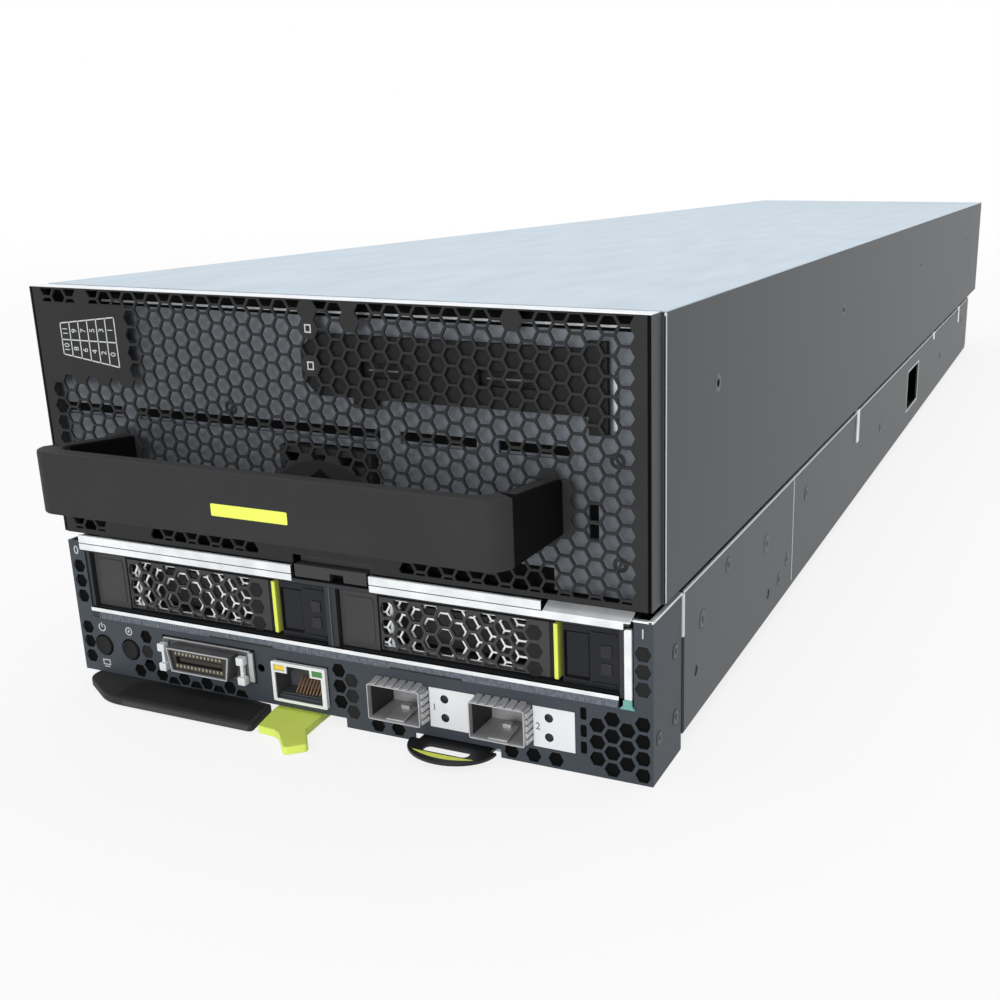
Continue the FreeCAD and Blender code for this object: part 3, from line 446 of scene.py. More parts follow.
def surface(name, colour, roughness, metallic, specular, mottle, grain=None, streak=(1, 1, 1), glow=0):
    """Principled surface with a mottled colour, an uneven gloss and a fine bump.

    mottle is (scale, depth) of the colour clouds, grain is (scale, strength) of the bump, streak is the
    stretch of both along each axis, and glow is the strength of an indicator's own light.
    """
    material = bpy.data.materials.new(name)
    material.use_nodes = True
    tree = material.node_tree
    shader = tree.nodes["Principled BSDF"]
    looks = {"Base Color": (*colour, 1), "Roughness": roughness}
    feed(tree, shader, {**looks, "Metallic": metallic, "Specular IOR Level": specular})
    where = added(tree, "TexCoord", {})
    mapping = added(tree, "Mapping", {"Scale": streak, "Vector": where.outputs["Object"]})
    along = mapping.outputs["Vector"]
    scale, depth = mottle
    clouds = added(tree, "TexNoise", {"Scale": scale, "Detail": 5, "Vector": along}).outputs["Fac"]
    ramp = added(tree, "ValToRGB", {"Fac": clouds})
    levels = (1 - depth, 1 + depth)
    for element, position, level in zip(ramp.color_ramp.elements, (0.3, 0.7), levels):
        element.position = position
        element.color = (*[min(1, c * level) for c in colour], 1)
    gloss = [min(1, roughness * level) for level in levels]
    ends = added(tree, "MapRange", {"To Min": gloss[0], "To Max": gloss[1], "Value": clouds})
    feed(tree, shader, {"Base Color": ramp.outputs["Color"], "Roughness": ends.outputs["Result"]})
    if grain:
        scale, strength = grain
        fine = added(tree, "TexNoise", {"Scale": scale, "Detail": 3, "Vector": along})
        relief = {"Strength": strength, "Distance": BUMP_DEPTH, "Height": fine.outputs["Fac"]}
        feed(tree, shader, {"Normal": added(tree, "Bump", relief).outputs["Normal"]})
    if glow:
        feed(tree, shader, {"Emission Color": (*colour, 1), "Emission Strength": glow})
    return material


# Colour, roughness, metallic, specular, mottle, grain, streak, glow
FINISHES = {
    "cover_steel": ((0.5, 0.595, 0.67), 0.5, 0.3, 0.5, (120, 0.06), (900, 0.1), (1, 0.25, 1)),
    "bright_steel": ((0.8, 0.83, 0.86), 0.35, 0.7, 0.5, (90, 0.06), (1500, 0.1)),
    "hem_steel": ((0.86, 0.89, 0.92), 0.4, 0.3, 0.5, (150, 0.12), (1500, 0.1)),
    "side_steel": ((0.066, 0.074, 0.081), 0.5, 0.2, 0.3, (14, 0.06), (1200, 0.1)),
    "tray_steel": ((0.086, 0.095, 0.102), 0.5, 0.2, 0.3, (14, 0.06), (1200, 0.1)),
    "lid_steel": ((0.45, 0.47, 0.49), 0.42, 0.7, 0.5, (30, 0.08), (1200, 0.1)),
    "frame_steel": ((0.035, 0.037, 0.041), 0.5, 0.2, 0.25, (60, 0.12), (1500, 0.1)),
    "plate_behind": ((0.15, 0.168, 0.19), 0.5, 0.1, 0.3, (22, 0.25), (1500, 0.12)),
    # Bright steel of pins and standoffs, also used for painted highlights on the data port's flange and
    # shell rim.
    "shell_steel": ((0.52, 0.53, 0.54), 0.35, 0.7, 0.5, (160, 0.08), (2000, 0.1)),
    "cage_steel": ((0.5, 0.5, 0.51), 0.4, 0.5, 0.5, (160, 0.08), (2000, 0.1)),
    # Painted shade for the cage's left inner wall and ceiling.
    "cage_shade_dark": ((0.035, 0.035, 0.038), 0.5, 0.2, 0.5, (90, 0.1), (2000, 0.1)),
    "gasket_steel": ((0.13, 0.15, 0.18), 0.5, 0.3, 0.5, (900, 0.35), (2500, 0.3)),
    "gold_contact": ((0.24, 0.14, 0.07), 0.45, 0.5, 0.5, (300, 0.08), (3000, 0.08)),
    "pin_metal": ((0.36, 0.33, 0.24), 0.35, 0.6, 0.5, (300, 0.08), (3000, 0.08)),
    "screw_steel": ((0.085, 0.09, 0.095), 0.4, 0.5, 0.5, (200, 0.1), (3000, 0.1)),
    "dark_shell": ((0.13, 0.13, 0.135), 0.38, 0.5, 0.5, (160, 0.1), (2000, 0.1)),
    # Painted light for the cage's floor, right inner wall and back plug.
    "cage_painted_light": ((0.38, 0.38, 0.39), 0.5, 0.1, 0.5, (160, 0.08), (2000, 0.1)),
    "cast_aluminium": ((0.42, 0.43, 0.44), 0.45, 0.8, 0.5, (60, 0.08), (1600, 0.2)),
    "charcoal_paint": ((0.032, 0.032, 0.033), 0.6, 0, 0.1, (40, 0.08), (2600, 0.2)),
    "slate_paint": ((0.05, 0.06, 0.073), 0.5, 0, 0.25, (35, 0.1), (2200, 0.2)),
    # Dark paint of the indicator cover and buttons, also used as painted shade for the arch over the latch
    # tab.
    "indicator_paint": ((0.02, 0.02, 0.021), 0.6, 0, 0.1, (50, 0.08), (2200, 0.2)),
    "handle_plastic": ((0.036, 0.036, 0.038), 0.6, 0, 0.1, (50, 0.08), (3200, 0.3)),
    # Near-black: painted shade in gaps, recesses and faces turned from the lamps, and ink for the thumb
    # mark.
    "void_black": ((0.004, 0.004, 0.004), 0.7, 0, 0.05, (60, 0.1), (2600, 0.2)),
    "black_plastic": ((0.01, 0.01, 0.011), 0.42, 0, 0.35, (60, 0.1), (2600, 0.2)),
    "carrier_plastic": ((0.046, 0.045, 0.046), 0.55, 0, 0.3, (50, 0.08), (2800, 0.25)),
    "block_plastic": ((0.013, 0.014, 0.018), 0.35, 0, 0.2, (60, 0.12), (2600, 0.1)),
    "window_plastic": ((0.02, 0.02, 0.026), 0.3, 0, 0.3, (200, 0.15)),
    "lime_plastic": ((0.86, 0.95, 0.14), 0.5, 0, 0.25, (80, 0.04), (2600, 0.12)),
    "latch_lime": ((0.79, 0.95, 0.16), 0.45, 0, 0.3, (70, 0.06), (2600, 0.15)),
    "white_plastic": ((0.84, 0.86, 0.88), 0.5, 0, 0.3, (70, 0.03), (2600, 0.12)),
    "teal_plastic": ((0.17, 0.42, 0.37), 0.45, 0, 0.3, (90, 0.06), (2600, 0.12)),
    "tan_plastic": ((0.035, 0.032, 0.026), 0.5, 0, 0.3, (120, 0.08), (2600, 0.12)),
    "white_print": ((0.62, 0.64, 0.66), 0.6, 0, 0.2, (200, 0.05)),
    "grey_print": ((0.1, 0.1, 0.11), 0.6, 0, 0.2, (200, 0.05)),
    "jack_inside": ((0.075, 0.075, 0.08), 0.5, 0, 0.3, (120, 0.1), (2600, 0.1)),
    "board_green": ((0.02, 0.085, 0.045), 0.4, 0, 0.5, (120, 0.25), (1800, 0.2)),
    "amber_lamp": ((0.82, 0.58, 0.05), 0.25, 0, 0.5, (600, 0.05), None, (1, 1, 1), 0.1),
    "green_lamp": ((0.05, 0.24, 0.04), 0.25, 0, 0.5, (600, 0.05), None, (1, 1, 1), 0.1),
}
MATERIAL = {name: surface(name, *finish) for name, finish in FINISHES.items()}


# Drawer front


def grille_kept_plain(u, w):
    """Places on the grille where the sheet has no holes."""
    label = u < LABEL_RIGHT and LABEL_W[0] < w < LABEL_W[1] - 1.5
    tabs = w > LABEL_W[1] - 2 and any(abs(u - tab) < 1 for tab in PLAIN_TABS)
    marks = any(math.dist((u, w), spot) < 1 for spot in LAMP_MARKS)
    panel = LATCH_PANEL[0] < u < LATCH_PANEL[1] and w < LATCH_PANEL[2]
    aside = abs(u - THUMB_MIDDLE)
    thumb = aside < 13 and w < 72.5 - 0.3 * aside
    roots = (HANDLE_U[0] + HANDLE_ARM / 2, HANDLE_U[1] - HANDLE_ARM / 2)
    arms = 57.5 < w < 74 and any(abs(u - root) < 4.2 for root in roots)
    foot = 17 < u < 30.5 and w < 49.5
    return label or tabs or marks or panel or thumb or arms or foot


def grille():
    """Perforated front sheet between two side skins, with a window for the latch tab."""
    radius = GRILLE_FLATS / ROOT_3
    u_span = (GRILLE_U[0] + radius, GRILLE_U[1] - radius)
    reach = GRILLE_FLATS * 0.36
    w_span = (GRILLE_W[0] - reach, GRILLE_W[1] + reach)
    holes = []
    for u, w in lattice(u_span, w_span, GRILLE_PITCH, GRILLE_ANCHOR):
        if grille_kept_plain(u, w):
            continue
        floor = LABEL_W[1] if u < LABEL_RIGHT and w > LABEL_W[1] - 2 else GRILLE_W[0]
        holes.append(clipped(hexagon(u, w, GRILLE_FLATS), (floor, GRILLE_W[1])))
    holes.append(rect(*LATCH_WINDOW))
    low, high = BEZEL_W[0], RAIL_TOP - 0.1
    near, far = SKIN + SKIN_GAP, WIDTH - SKIN - SKIN_GAP
    parts = [sheet(notched(near, far, low, high, GRILLE_NOTCH), holes, 0, GRILLE_SHEET, 0.08)]
    on_drawer("grille_sheet", parts, "charcoal_paint", "charcoal_paint", "drawer_bezel")
    # Folds beside the skins and along the bottom in near-black: painted shade where the grille's returns lie
    # in shadow.
    folds = []
    for u0, u1 in ((SKIN - 0.1, near + 0.3), (far - 0.3, WIDTH - SKIN + 0.1)):
        folds.append(block(u0, u1, GRILLE_SHEET - 0.15, 1.4, low, high, 0.1))
    for u0, u1 in ((SKIN, GRILLE_NOTCH[0]), (GRILLE_NOTCH[1], WIDTH - SKIN)):
        folds.append(block(u0, u1, GRILLE_SHEET - 0.1, RETURN_DEPTH, low, low + 1, 0.1))
    on_drawer("grille_folds", folds, "charcoal_paint", "void_black")
    skins = [block(u, u + SKIN, 0.1, RETURN_DEPTH, low, high) for u in (0, WIDTH - SKIN)]
    on_drawer("grille_skins", skins, "side_steel", "side_steel")


def bay_map():
    """Printed map of the drive bays: a ruled fan with plain numerals on their side."""
    left, right = 9, 27.1
    top = (101, 103.2)
    foot = (93, 90.5)
    middle = 96.8
    line = 0.3
    columns = 6

    def across(t, ends):
        return ends[0] + (ends[1] - ends[0]) * t

    parts = []
    for ends in (top, (middle, middle), foot):
        parts.append(stroke((left, ends[0]), (right, ends[1]), line, *GRILLE_INK))
    for i in range(columns + 1):
        t = i / columns
        u = across(t, (left, right))
        parts.append(stroke((u, across(t, foot)), (u, across(t, top)), line, *GRILLE_INK))
    for i in range(columns):
        t = (i + 0.5) / columns
        u = across(t, (left, right))
        for number, ends in ((11 - 2 * i, top), (10 - 2 * i, foot)):
            w = (across(t, ends) + middle) / 2
            parts.append(digits(str(number), 2.3, u, w, GRILLE_INK[0], sideways=True))
    on_drawer("bay_map_print", parts, "pale_plastic", "white_print")


def grille_marks():
    """Plain frames printed over two blanked holes, and over the latch tab a dark arch, painted shade where
    the handle shades the grille, with a printed triangle on it.
    """
    frames = [framed(u - 0.9, u + 0.9, w - 1, w + 1, 0.3, *GRILLE_INK) for u, w in LAMP_MARKS]
    on_drawer("lamp_mark_print", frames, "pale_plastic", "white_print")
    # The arch is painted shade: darker than the grille where the pull handle shades it.
    arch = [(72.4, 63), (99.8, 63), (99.8, 66), (93, 70.2), (86, 71.6), (79, 70.2), (72.4, 66)]
    shade = sheet(arch, [], -0.02, 0.05, 0.005)
    on_drawer("thumb_shade", [shade], "charcoal_paint", "indicator_paint")
    triangle = sheet([(80.4, 65.2), (91.6, 65.2), (86, 69.2)], [], *GRILLE_INK, 0.005)
    on_drawer("thumb_mark", [triangle], "black_plastic", "void_black")


def drive_plate():
    """Slotted plate behind the grille, and the shelf of the upper drives folded back from it."""
    front, back = 3.6, 4.6
    left, right = 1.4, 170.6
    low, high = 44.75, 105.8
    window = (73.1, 100.4, 74.5)
    gaps = ((2.2, 22.4), (28, 101.4), (107, 127.4), (133.1, 151.2))
    slots = ((2.5, 14), (28, 64), (104, 146))
    holes = [rect(a, b, 76.4, 79.4) for a, b in gaps]
    holes += [rect(a, b, 45.4, 50) for a, b in slots]
    holes += [rect(155.4, 157.8, *span) for span in ((58.4, 61.9), (62.6, 67.1))]
    parts = [sheet(notched(left, right, low, high, window), holes, front, back)]
    parts.append(block(left, left + 0.4, 1.5, front + 0.1, low, high, 0.05))
    for u, *depth in ((left, back - 0.1, 6.8), (0.4, 6.7, 700)):
        parts.append(block(u, SHELF_RIGHT, *depth, *SHELF_W, 0.1))
    on_drawer("drive_plate", parts, "slate_paint", "plate_behind", "drive_frame")
    # Near-black blocks behind the plate's gaps, slots and side holes: painted shade in the openings.
    shade_blocks = [block(2, 157, back - 0.05, back + 0.4, 75.6, 82, 0.05)]
    shade_blocks += [block(a - 0.4, b + 0.4, front - 0.1, front + 0.6, low, 50.2, 0.05) for a, b in slots]
    shade_blocks.append(block(154.6, 158.6, back - 0.05, back + 0.4, 57.6, 68, 0.05))
    on_drawer("plate_seals", shade_blocks, "black_plastic", "void_black")
    strip = block(161.9, 163, 2.7, 3.65, 84, 97, 0.2)
    bar = block(20, 168, 3.75, 4.25, 106.5, 107.1, 0.1)
    on_drawer("lamp_bracket", [strip, bar], "galvanised", "lid_steel")
    spots = ((162.6, 77.2), (163, 53), (58, 81.6))
    screws = [head(SCREW_HEAD, row(u, front + 0.02, w), (0, -1, 0), 2) for u, w in spots]
    on_drawer("drive_plate_screws", screws, "galvanised", "frame_steel")


def indicator_plate():
    """Dark plate with two slots, on short posts from the drive plate."""
    left, end, right = 82, 156.6, 161.2
    low, high = 87.1, 102
    ear_low, ear_high = 83, 103.8
    corner = 4
    near, far, foot = 96, 102.5, 84.7
    outline = [(left + corner, low), (near, low), (near, foot), (far, foot), (far, low), (end, low)]
    outline += [(end, ear_low), (right, ear_low), (right, ear_high), (end, ear_high), (end, high)]
    outline += [(left + corner, high), (left, high - corner), (left, low + corner)]
    spans = ((98.6, 112.2), (129.8, 144))
    slots = [rect(a, b, 92.2, 95.8) for a, b in spans]
    parts = [sheet(outline, slots, 1.4, 2.8, 0.2)]
    parts += [block(a - 1, b + 1, 2.9, 3.4, 90.5, 97.5, 0.1) for a, b in spans]
    glints = [block(a + 1.5, b - 4, 2.6, 3, 93.6, 94.1, 0.1) for a, b in spans]
    on_drawer("slot_glints", glints, "galvanised", "dark_shell")
    posts = [(u, w) for u in (left + 8, right - 12) for w in (90, 98.5)]
    parts += [sheet(hexagon(u, w, 4.4), [], 2.7, 3.65, 0.1) for u, w in posts]
    on_drawer("indicator_cover", parts, "black_plastic", "indicator_paint", "indicator_plate")


def top_edge():
    """Bright top of the grille's fold and, behind it, a lip in near-black as painted shade seen through the
    top row of holes.
    """
    strip = block(0.1, WIDTH - 0.1, 0.05, 5.4, RAIL_TOP - 0.14, RAIL_TOP, 0.05)
    on_drawer("top_strip", [strip], "galvanised", "bright_steel", "top_rail")
    # Lip in near-black: painted shade behind the top row of holes.
    lip = block(1.4, WIDTH - 1.4, 4.2, RETURN_DEPTH, 104, RAIL_TOP - 0.3, 0.1)
    on_drawer("top_lip", [lip], "charcoal_paint", "void_black")


def cover():
    """Flat top sheet of the drawer, pierced by thin slots near its rear right corner."""
    low, high = 109.9, 110.2
    slots = [rounded(104, 164, v, v + 2.4, 1, 2) for v in range(672, 712, 8)]
    top = rect(-SIDE_SHEET, WIDTH + SIDE_SHEET, 6.9, COVER_END)
    parts = [sheet(top, slots, low, high, 0.1, lying)]
    for u in (0.2, WIDTH - 1):
        parts.append(block(u, u + SIDE_SHEET, 24, COVER_END - 2, 105.2, low + 0.05, 0.1))
    on_drawer("cover_sheet", parts, "galvanised", "cover_steel", "drawer_cover")
    rim = (109.15, 109.92, 0.05)
    edges = [block(u, u + 1, 6.5, COVER_END, *rim) for u in (-SIDE_SHEET, WIDTH - 0.2)]
    edges.append(block(-SIDE_SHEET, WIDTH + SIDE_SHEET, COVER_END - 1, COVER_END, *rim))
    on_drawer("cover_edges", edges, "side_steel", "side_steel")


def pull_handle():
    """U-shaped pull: bar with rounded corners, two tapered arms and a bright inlay. The arms are near-black
    as painted shade on their sides, and the tops of the bar and arms are capped in a separate dark grey:
    painted shade on the bar's top and painted light on the arms' tops.
    """
    left, right = HANDLE_U
    low, high = HANDLE_W
    front = -HANDLE_REACH
    inner = front + HANDLE_BAR
    radius, fillet = HANDLE_RADIUS, HANDLE_FILLET
    reach = HANDLE_ARM + fillet
    hollow = inner + fillet
    root = 0.2
    inset = 0.9
    # Degrees at the end of each corner that go to the near-black arm, so the painted shade starts as the
    # corner turns into the arm.
    split = 6
    steps = 5
    bar = arc(left + radius, front + radius, radius, 180 + split, 270, steps)
    bar += arc(right - radius, front + radius, radius, -90, -split, steps)
    bar += arc(right - reach, hollow, fillet, 0, -90, steps)
    bar += arc(left + reach, hollow, fillet, 270, 180, steps)
    shape = sheet(bar, [], low, high, 0.6, lying)
    on_drawer("handle_bar", [shape], "black_plastic", "handle_plastic", "pull_handle")
    arms = []
    for outer, inward, turn in ((left, 1, 180), (right, -1, 0)):
        inside = outer + inward * HANDLE_ARM
        start = turn + inward * (split + 1)
        arm = arc(outer + inward * radius, front + radius, radius, start, turn, steps)
        arm += [(outer, root), (inside, root), (inside, hollow - 0.1)]
        arms.append(sheet(arm, [], low, high, 0.6, lying))
    caps = [rect(left + reach, right - reach, front + inset, inner - inset)]
    caps += [rect(u + inset, u + HANDLE_ARM - inset, hollow, -0.1) for u in (left, right - HANDLE_ARM)]
    tops = [sheet(cap, [], high - 0.1, high + 0.04, 0.02, lying) for cap in caps]
    middle = (low + high) / 2 * MM
    start = row(0, inner, 0).y
    for shape in arms + tops:
        for vert in shape.verts:
            if vert.co.z > middle:
                vert.co.z -= HANDLE_TAPER * MM * max(0, (vert.co.y - start) / (FRONT - start))
    # Arms in near-black: painted shade on faces turned away from the lamps.
    on_drawer("handle_arms", arms, "black_plastic", "void_black")
    # Caps in a separate dark grey: a little darker than the bar as painted shade on its top, lighter than
    # the arms as painted light on theirs.
    on_drawer("handle_top", tops, "black_plastic", "charcoal_paint")
    u0, u1, _, _, w0, w1 = panel_box("handle_inlay")
    strip = sheet(rounded(u0, u1, w0, w1, 0.3, 2), [], front - 0.06, front + 0.7, 0.05)
    on_drawer("handle_stripe", [strip], "lime_plastic", "lime_plastic", "handle_inlay")


# Chassis front


def vent_spots():
    """Centres of the open hexagonal vents in the port panel."""
    spots = [(2.8, w) for w in (33.7, 29.4, 24.9, 15.6, 11.3, 6.9)]
    for u, start, count in ((161.7, 2.5, 4), (169.5, 2.5, 4), (157.9, 4.7, 3), (165.5, 4.7, 3)):
        spots += [(u, start + VENT_PITCH * i) for i in range(count)]
    spots += [(86.1, w) for w in (15.8, 11.4, 7)]
    spots += [(19.9 + 7.65 * i, 4.95) for i in range(5)]
    spots += [(31.5 + 7.6 * i, 3.1) for i in range(4)]
    spots += [(u, 2.4) for u in (97, 103, 135, 141, 147)]
    return spots + [(23.6, 7), (23.4, 15.6)]


def front_panel():
    """Port panel with ears, hexagonal vents and port cut-outs."""
    low, top = PANEL_LOW, PANEL_TOP
    ear_left, ear_right = PANEL_EARS
    start, end, step = CARD_NOTCH
    outline = [(0, low), (PANEL_STEP, low), (PANEL_STEP, 0), (start, 0), (start, step), (end, step)]
    outline += [(end, 0), (WIDTH, 0), (WIDTH, top), (ear_right, top), (ear_right, PANEL_BAND)]
    outline += [(ear_left, PANEL_BAND), (ear_left, top), (0, top)]
    holes = []
    for u, w in vent_spots():
        floor = low + 0.2 if u < PANEL_STEP else 0.4
        holes.append(clipped(hexagon(u, w, VENT_FLATS), (floor, top)))
    blind = [(89.8, w) for w in (13.6, 9.2, 4.8)] + [(169.5, w) for w in (33.3, 28.9, 24.5)] + [(23.3, 11.2)]
    holes += [hexagon(u, w, VENT_FLATS) for u, w in blind]
    holes += [rounded(153.6, 155.2, w - 1.6, w + 1.6, 0.4, 2) for w in (15.9, 11.4, 7)]
    holes += [rect(*cut) for cut in (DATA_CUT, JACK_CUT, CAGE_CUT)]
    holes.append(circle(61.6, 12.5, 1.1, 20))
    holes += [circle(u, BUTTON_W, 3.15, 32) for u in BUTTON_U.values()]
    parts = [sheet(outline, holes, PANEL_FACE, PANEL_BACK, 0.08)]
    parts += blocks(0.12, (171, 172, 0.9, 20, 0, top), (0, 1, 0.9, 20, low, top))
    parts += blocks(0.1, (170, 171, 10, 32, 8, 36), (1, 2, 10, 32, 8, 36))
    piece("port_panel", parts, "slate_paint", "slate_paint", "front_panel")
    fillers = [sheet(hexagon(u, w, VENT_FLATS), [], 0.75, PANEL_BACK, 0.05) for u, w in blind]
    piece("blind_vents", fillers, "slate_paint", "indicator_paint")
    # Near-black sheets just behind the vents and cut-outs: painted shade seen through them.
    spans = [(0.4, 5.2, 4.5, 36), (17.5, 57, low, 7.6), (21, 26, 13, 18.2)]
    spans += [(84, 91.8, 2.8, 18.2), (88, 107.5, 0.1, 4.6), (133, 152.2, 0.1, 4.6)]
    spans.append((152.6, 171.6, 0.1, 18.6))
    behind = (PANEL_BACK + 0.05, PANEL_BACK + 0.3)
    liners = [block(u0, u1, *behind, w0, w1, 0.05) for u0, u1, w0, w1 in spans]
    piece("panel_shade_liners", liners, "black_plastic", "void_black")


def panel_prints():
    """Plain numerals on the ears, signs by the two buttons and a plain frame below them."""
    edge = 0.01
    line = 0.3
    parts = [digits(number, 3.4, u, 38.2, PANEL_INK[0]) for number, u in (("0", 2.5), ("1", 169.5))]
    u, w = 8, 16.3
    power = arc(u, w, 1.25, 125, 415, 20) + arc(u, w, 0.95, 415, 125, 20)
    parts.append(sheet(power, [], *PANEL_INK, edge))
    parts.append(stroke((u, w + 0.2), (u, w + 1.3), line, *PANEL_INK))
    u, w = 17.5, 16.4
    parts.append(sheet(circle(u, w, 1.2), [circle(u, w, 0.88)], *PANEL_INK, edge))
    parts.append(sheet(circle(u, w, 0.4, 12), [], *PANEL_INK, edge))
    u, w = 8, 5.6
    parts.append(framed(u - 1.3, u + 1.3, w - 0.7, w + 1, line, *PANEL_INK, edge))
    parts.append(stroke((u - 0.8, w - 1.2), (u + 0.8, w - 1.2), line, *PANEL_INK))
    piece("panel_prints", parts, "pale_plastic", "white_print")


def push_button(node):
    """Round button with a raised rim and a dished middle, on a dark square collar."""
    u, w = BUTTON_U[node], BUTTON_W
    rim = [(0, -1.9), (2.75, -1.9), (2.75, -0.25), (2.55, 0), (2.1, 0)]
    dish = [(1.9, -0.2), (1, -0.35), (0, -0.4)]
    cap = lathe(rim + dish, row(u, 0.1, w), (0, -1, 0))
    piece(node + "_cap", [cap], "grey_plastic", "indicator_paint", node, body=node)
    collar = block(u - 3.8, u + 3.8, 1.8, 3, w - 3.8, w + 3.8, 0.1)
    stem = block(u - 1.6, u + 1.6, 2.9, 6.4, w - 1.6, w + 1.6, 0.1)
    piece(node + "_stem", [collar, stem], "grey_plastic", "black_plastic", body=node)


def gasket():
    """Spring strip of fine fingers under the bay's sill, with two slots below it drawn as black strips,
    painted shade in the slots.
    """
    left, right = 8.4, 163.4
    low, high = 19.25, 21.1
    pitch = 0.85
    parts = [block(left, right, -0.02, 0.1, low, high, 0)]
    for i in range(int((right - left) / pitch)):
        u = left + i * pitch
        parts.append(block(u, u + pitch * 0.6, -0.12, 0.02, low + 0.1, high - 0.1, 0.04, 1))
    piece("sill_gasket", parts, "connector_metal", "gasket_steel")
    slots = [block(u, u + 20.5, -0.16, 0.05, low, low + 0.45, 0.03, 1) for u in (46, 102)]
    piece("gasket_slot_shade", slots, "black_plastic", "black_plastic")


def bay_trim():
    """Bright bare edges of the bay frame and the panel."""
    nose, back = -1.05, -0.15
    left = (5.5, 75.3)
    parts = [block(*span, nose, back, 41.25, 43.45) for span in (left, (98.2, 144.9))]
    parts.append(wedge(145.2, 167, (nose, 40.85, 41.25), (2.4, 42.2, 42.7)))
    parts += blocks(0.1, (167, 171.9, 0.35, 1.6, 40.95, 41.5), (170.9, 172.1, 0.35, 20.2, 40.95, 41.6))
    parts.append(block(165, 166.9, 0.1, 1, 21.4, 39, 0.2))
    parts += [block(*span, nose, back, 39.3, 41.1) for span in (left, (98.2, 165.4))]
    piece("bay_trim", parts, "galvanised", "hem_steel")
    divider = block(84.8, 85.2, 0.5, 0.9, 22.2, 38.6, 0.1)
    piece("bay_divider", [divider], "galvanised", "tray_steel")
    sill = block(5.6, 163.7, -0.05, 0.85, 21.1, 22.2, 0.12)
    piece("bay_sill", [sill], "galvanised", "hem_steel")


# Drive carriers


def lever_mesh(index):
    """Swinging lever: plastic hexagon mesh with flanges, hinge eyes and a blind column."""
    x = CARRIER_LEFT[index]
    left, right = x + LEVER_SPAN[0], x + LEVER_SPAN[1]
    front, back = CARRIER_FACE, CARRIER_FACE + LEVER_DEPTH
    low, high = LEVER_W
    body = f"lever_{index}"
    first = x + MESH_FIRST
    column = CARRIER_PITCH * ROOT_3 / 2
    u_span = (first - 0.5, first + (MESH_COLUMNS - 0.5) * column)
    w_span = (low + 0.3, high - 0.3)
    reach = CARRIER_FLATS * 0.3
    spots = lattice(u_span, (w_span[0] - reach, w_span[1] + reach), CARRIER_PITCH, (first, MESH_MIDDLE_W))
    holes = [trimmed(hexagon(u, w, CARRIER_FLATS), (left + 0.35, right), w_span) for u, w in spots]
    parts = [sheet(rect(left, right, low, high), holes, front, front + 0.8)]
    eye = [(0.85, 0), (2, 0), (2, LEVER_FLANGE), (0.85, LEVER_FLANGE), (0.85, 0)]
    for w in (low, high - LEVER_FLANGE):
        parts.append(block(x + HINGE_OFFSET, right, front + 0.7, back, w, w + LEVER_FLANGE, 0.1))
        parts.append(lathe(eye, row(x + HINGE_OFFSET, front + 2, w), (0, 0, 1)))
    parts.append(block(right - 1.2, right, front + 0.7, back, low, high, 0.1))
    node = f"carrier_lever_{index}"
    piece(f"lever_mesh_{index}", parts, "grey_plastic", "carrier_plastic", node, body=body)
    blind = first + MESH_COLUMNS * column
    parts = [block(right - 0.1, x + LEVER_END + 0.05, front + 0.15, back, low, high, 0.1)]
    for j in (-1, 0, 1):
        w = MESH_MIDDLE_W + j * CARRIER_PITCH
        parts.append(sheet(hexagon(blind, w, CARRIER_FLATS), [], front - 0.08, front + 0.2, 0.05))
    piece(f"lever_blanks_{index}", parts, "grey_plastic", "indicator_paint", body=body)


def inner_mesh(index):
    """Bright finer mesh behind the holes of a lever."""
    x = CARRIER_LEFT[index]
    left, right = x + LEVER_SPAN[0], x + LEVER_SPAN[1]
    low, high = LEVER_W[0] + LEVER_FLANGE, LEVER_W[1] - LEVER_FLANGE
    pitch = CARRIER_PITCH * INNER_RATIO
    reach = pitch / ROOT_3
    anchor = (x + INNER_ANCHOR[0], INNER_ANCHOR[1])
    u_span, w_span = (left + 0.2, right - 1.6), (low + 0.2, high - 0.2)
    holes = []
    for u, w in lattice((left - reach, right), (low - reach, high + reach), pitch, anchor):
        hole = trimmed(hexagon(u, w, pitch - INNER_WIRE), u_span, w_span)
        if len(hole) > 2 and max(hole)[0] - min(hole)[0] > 0.4:
            holes.append(hole)
    front = CARRIER_FACE + INNER_DEPTH
    mesh = sheet(rect(left + 0.05, right - 1.1, low, high), holes, front, front + 0.4, 0.02)
    piece(f"inner_mesh_{index}", [mesh], "galvanised", "bright_steel", body=f"lever_{index}")


def lever_stripe(index):
    """Narrow coloured edge at the free end of a lever."""
    node = f"lever_stripe_{index}"
    u, _, *box = panel_box(node)
    strip = block(u, u + STRIPE_WIDTH, *box, 0.2)
    piece(f"lever_edge_{index}", [strip], "lime_plastic", "lime_plastic", node, body=f"lever_{index}")


def carrier_trim(index):
    """Raised pad, indicator windows and block seams on a carrier's face."""
    x = CARRIER_LEFT[index]
    front = CARRIER_FACE
    body = f"carrier_{index}"
    face = (front - 0.2, front + 0.3)
    pad = sheet(rounded(x + 1.6, x + 9.9, 24, 36.4, 0.8), [], *face, 0.15)
    piece(f"carrier_pad_{index}", [pad], "grey_plastic", "carrier_plastic", body=body)
    button = rect(x + 62.1, x + 68.5, 24, 35.9)
    parts = [sheet(rect(x + 61.7, x + 75.9, 22.7, 37.5), [button], *face)]
    parts += [block(x + 69.2, x + 75.4, front - 0.5, front + 0.2, w, w + 0.6, 0.1) for w in (36, 23.4)]
    piece(f"carrier_block_{index}", parts, "black_plastic", "block_plastic", body=body)
    windows = [rounded(x + 71.4, x + 74.2, w - 1.5, w + 1.5, 0.4) for w in (32, 27.5)]
    lamps = [sheet(window, [], front - 0.45, front) for window in windows]
    piece(f"carrier_lamps_{index}", lamps, "black_plastic", "window_plastic", body=body)


# Ports


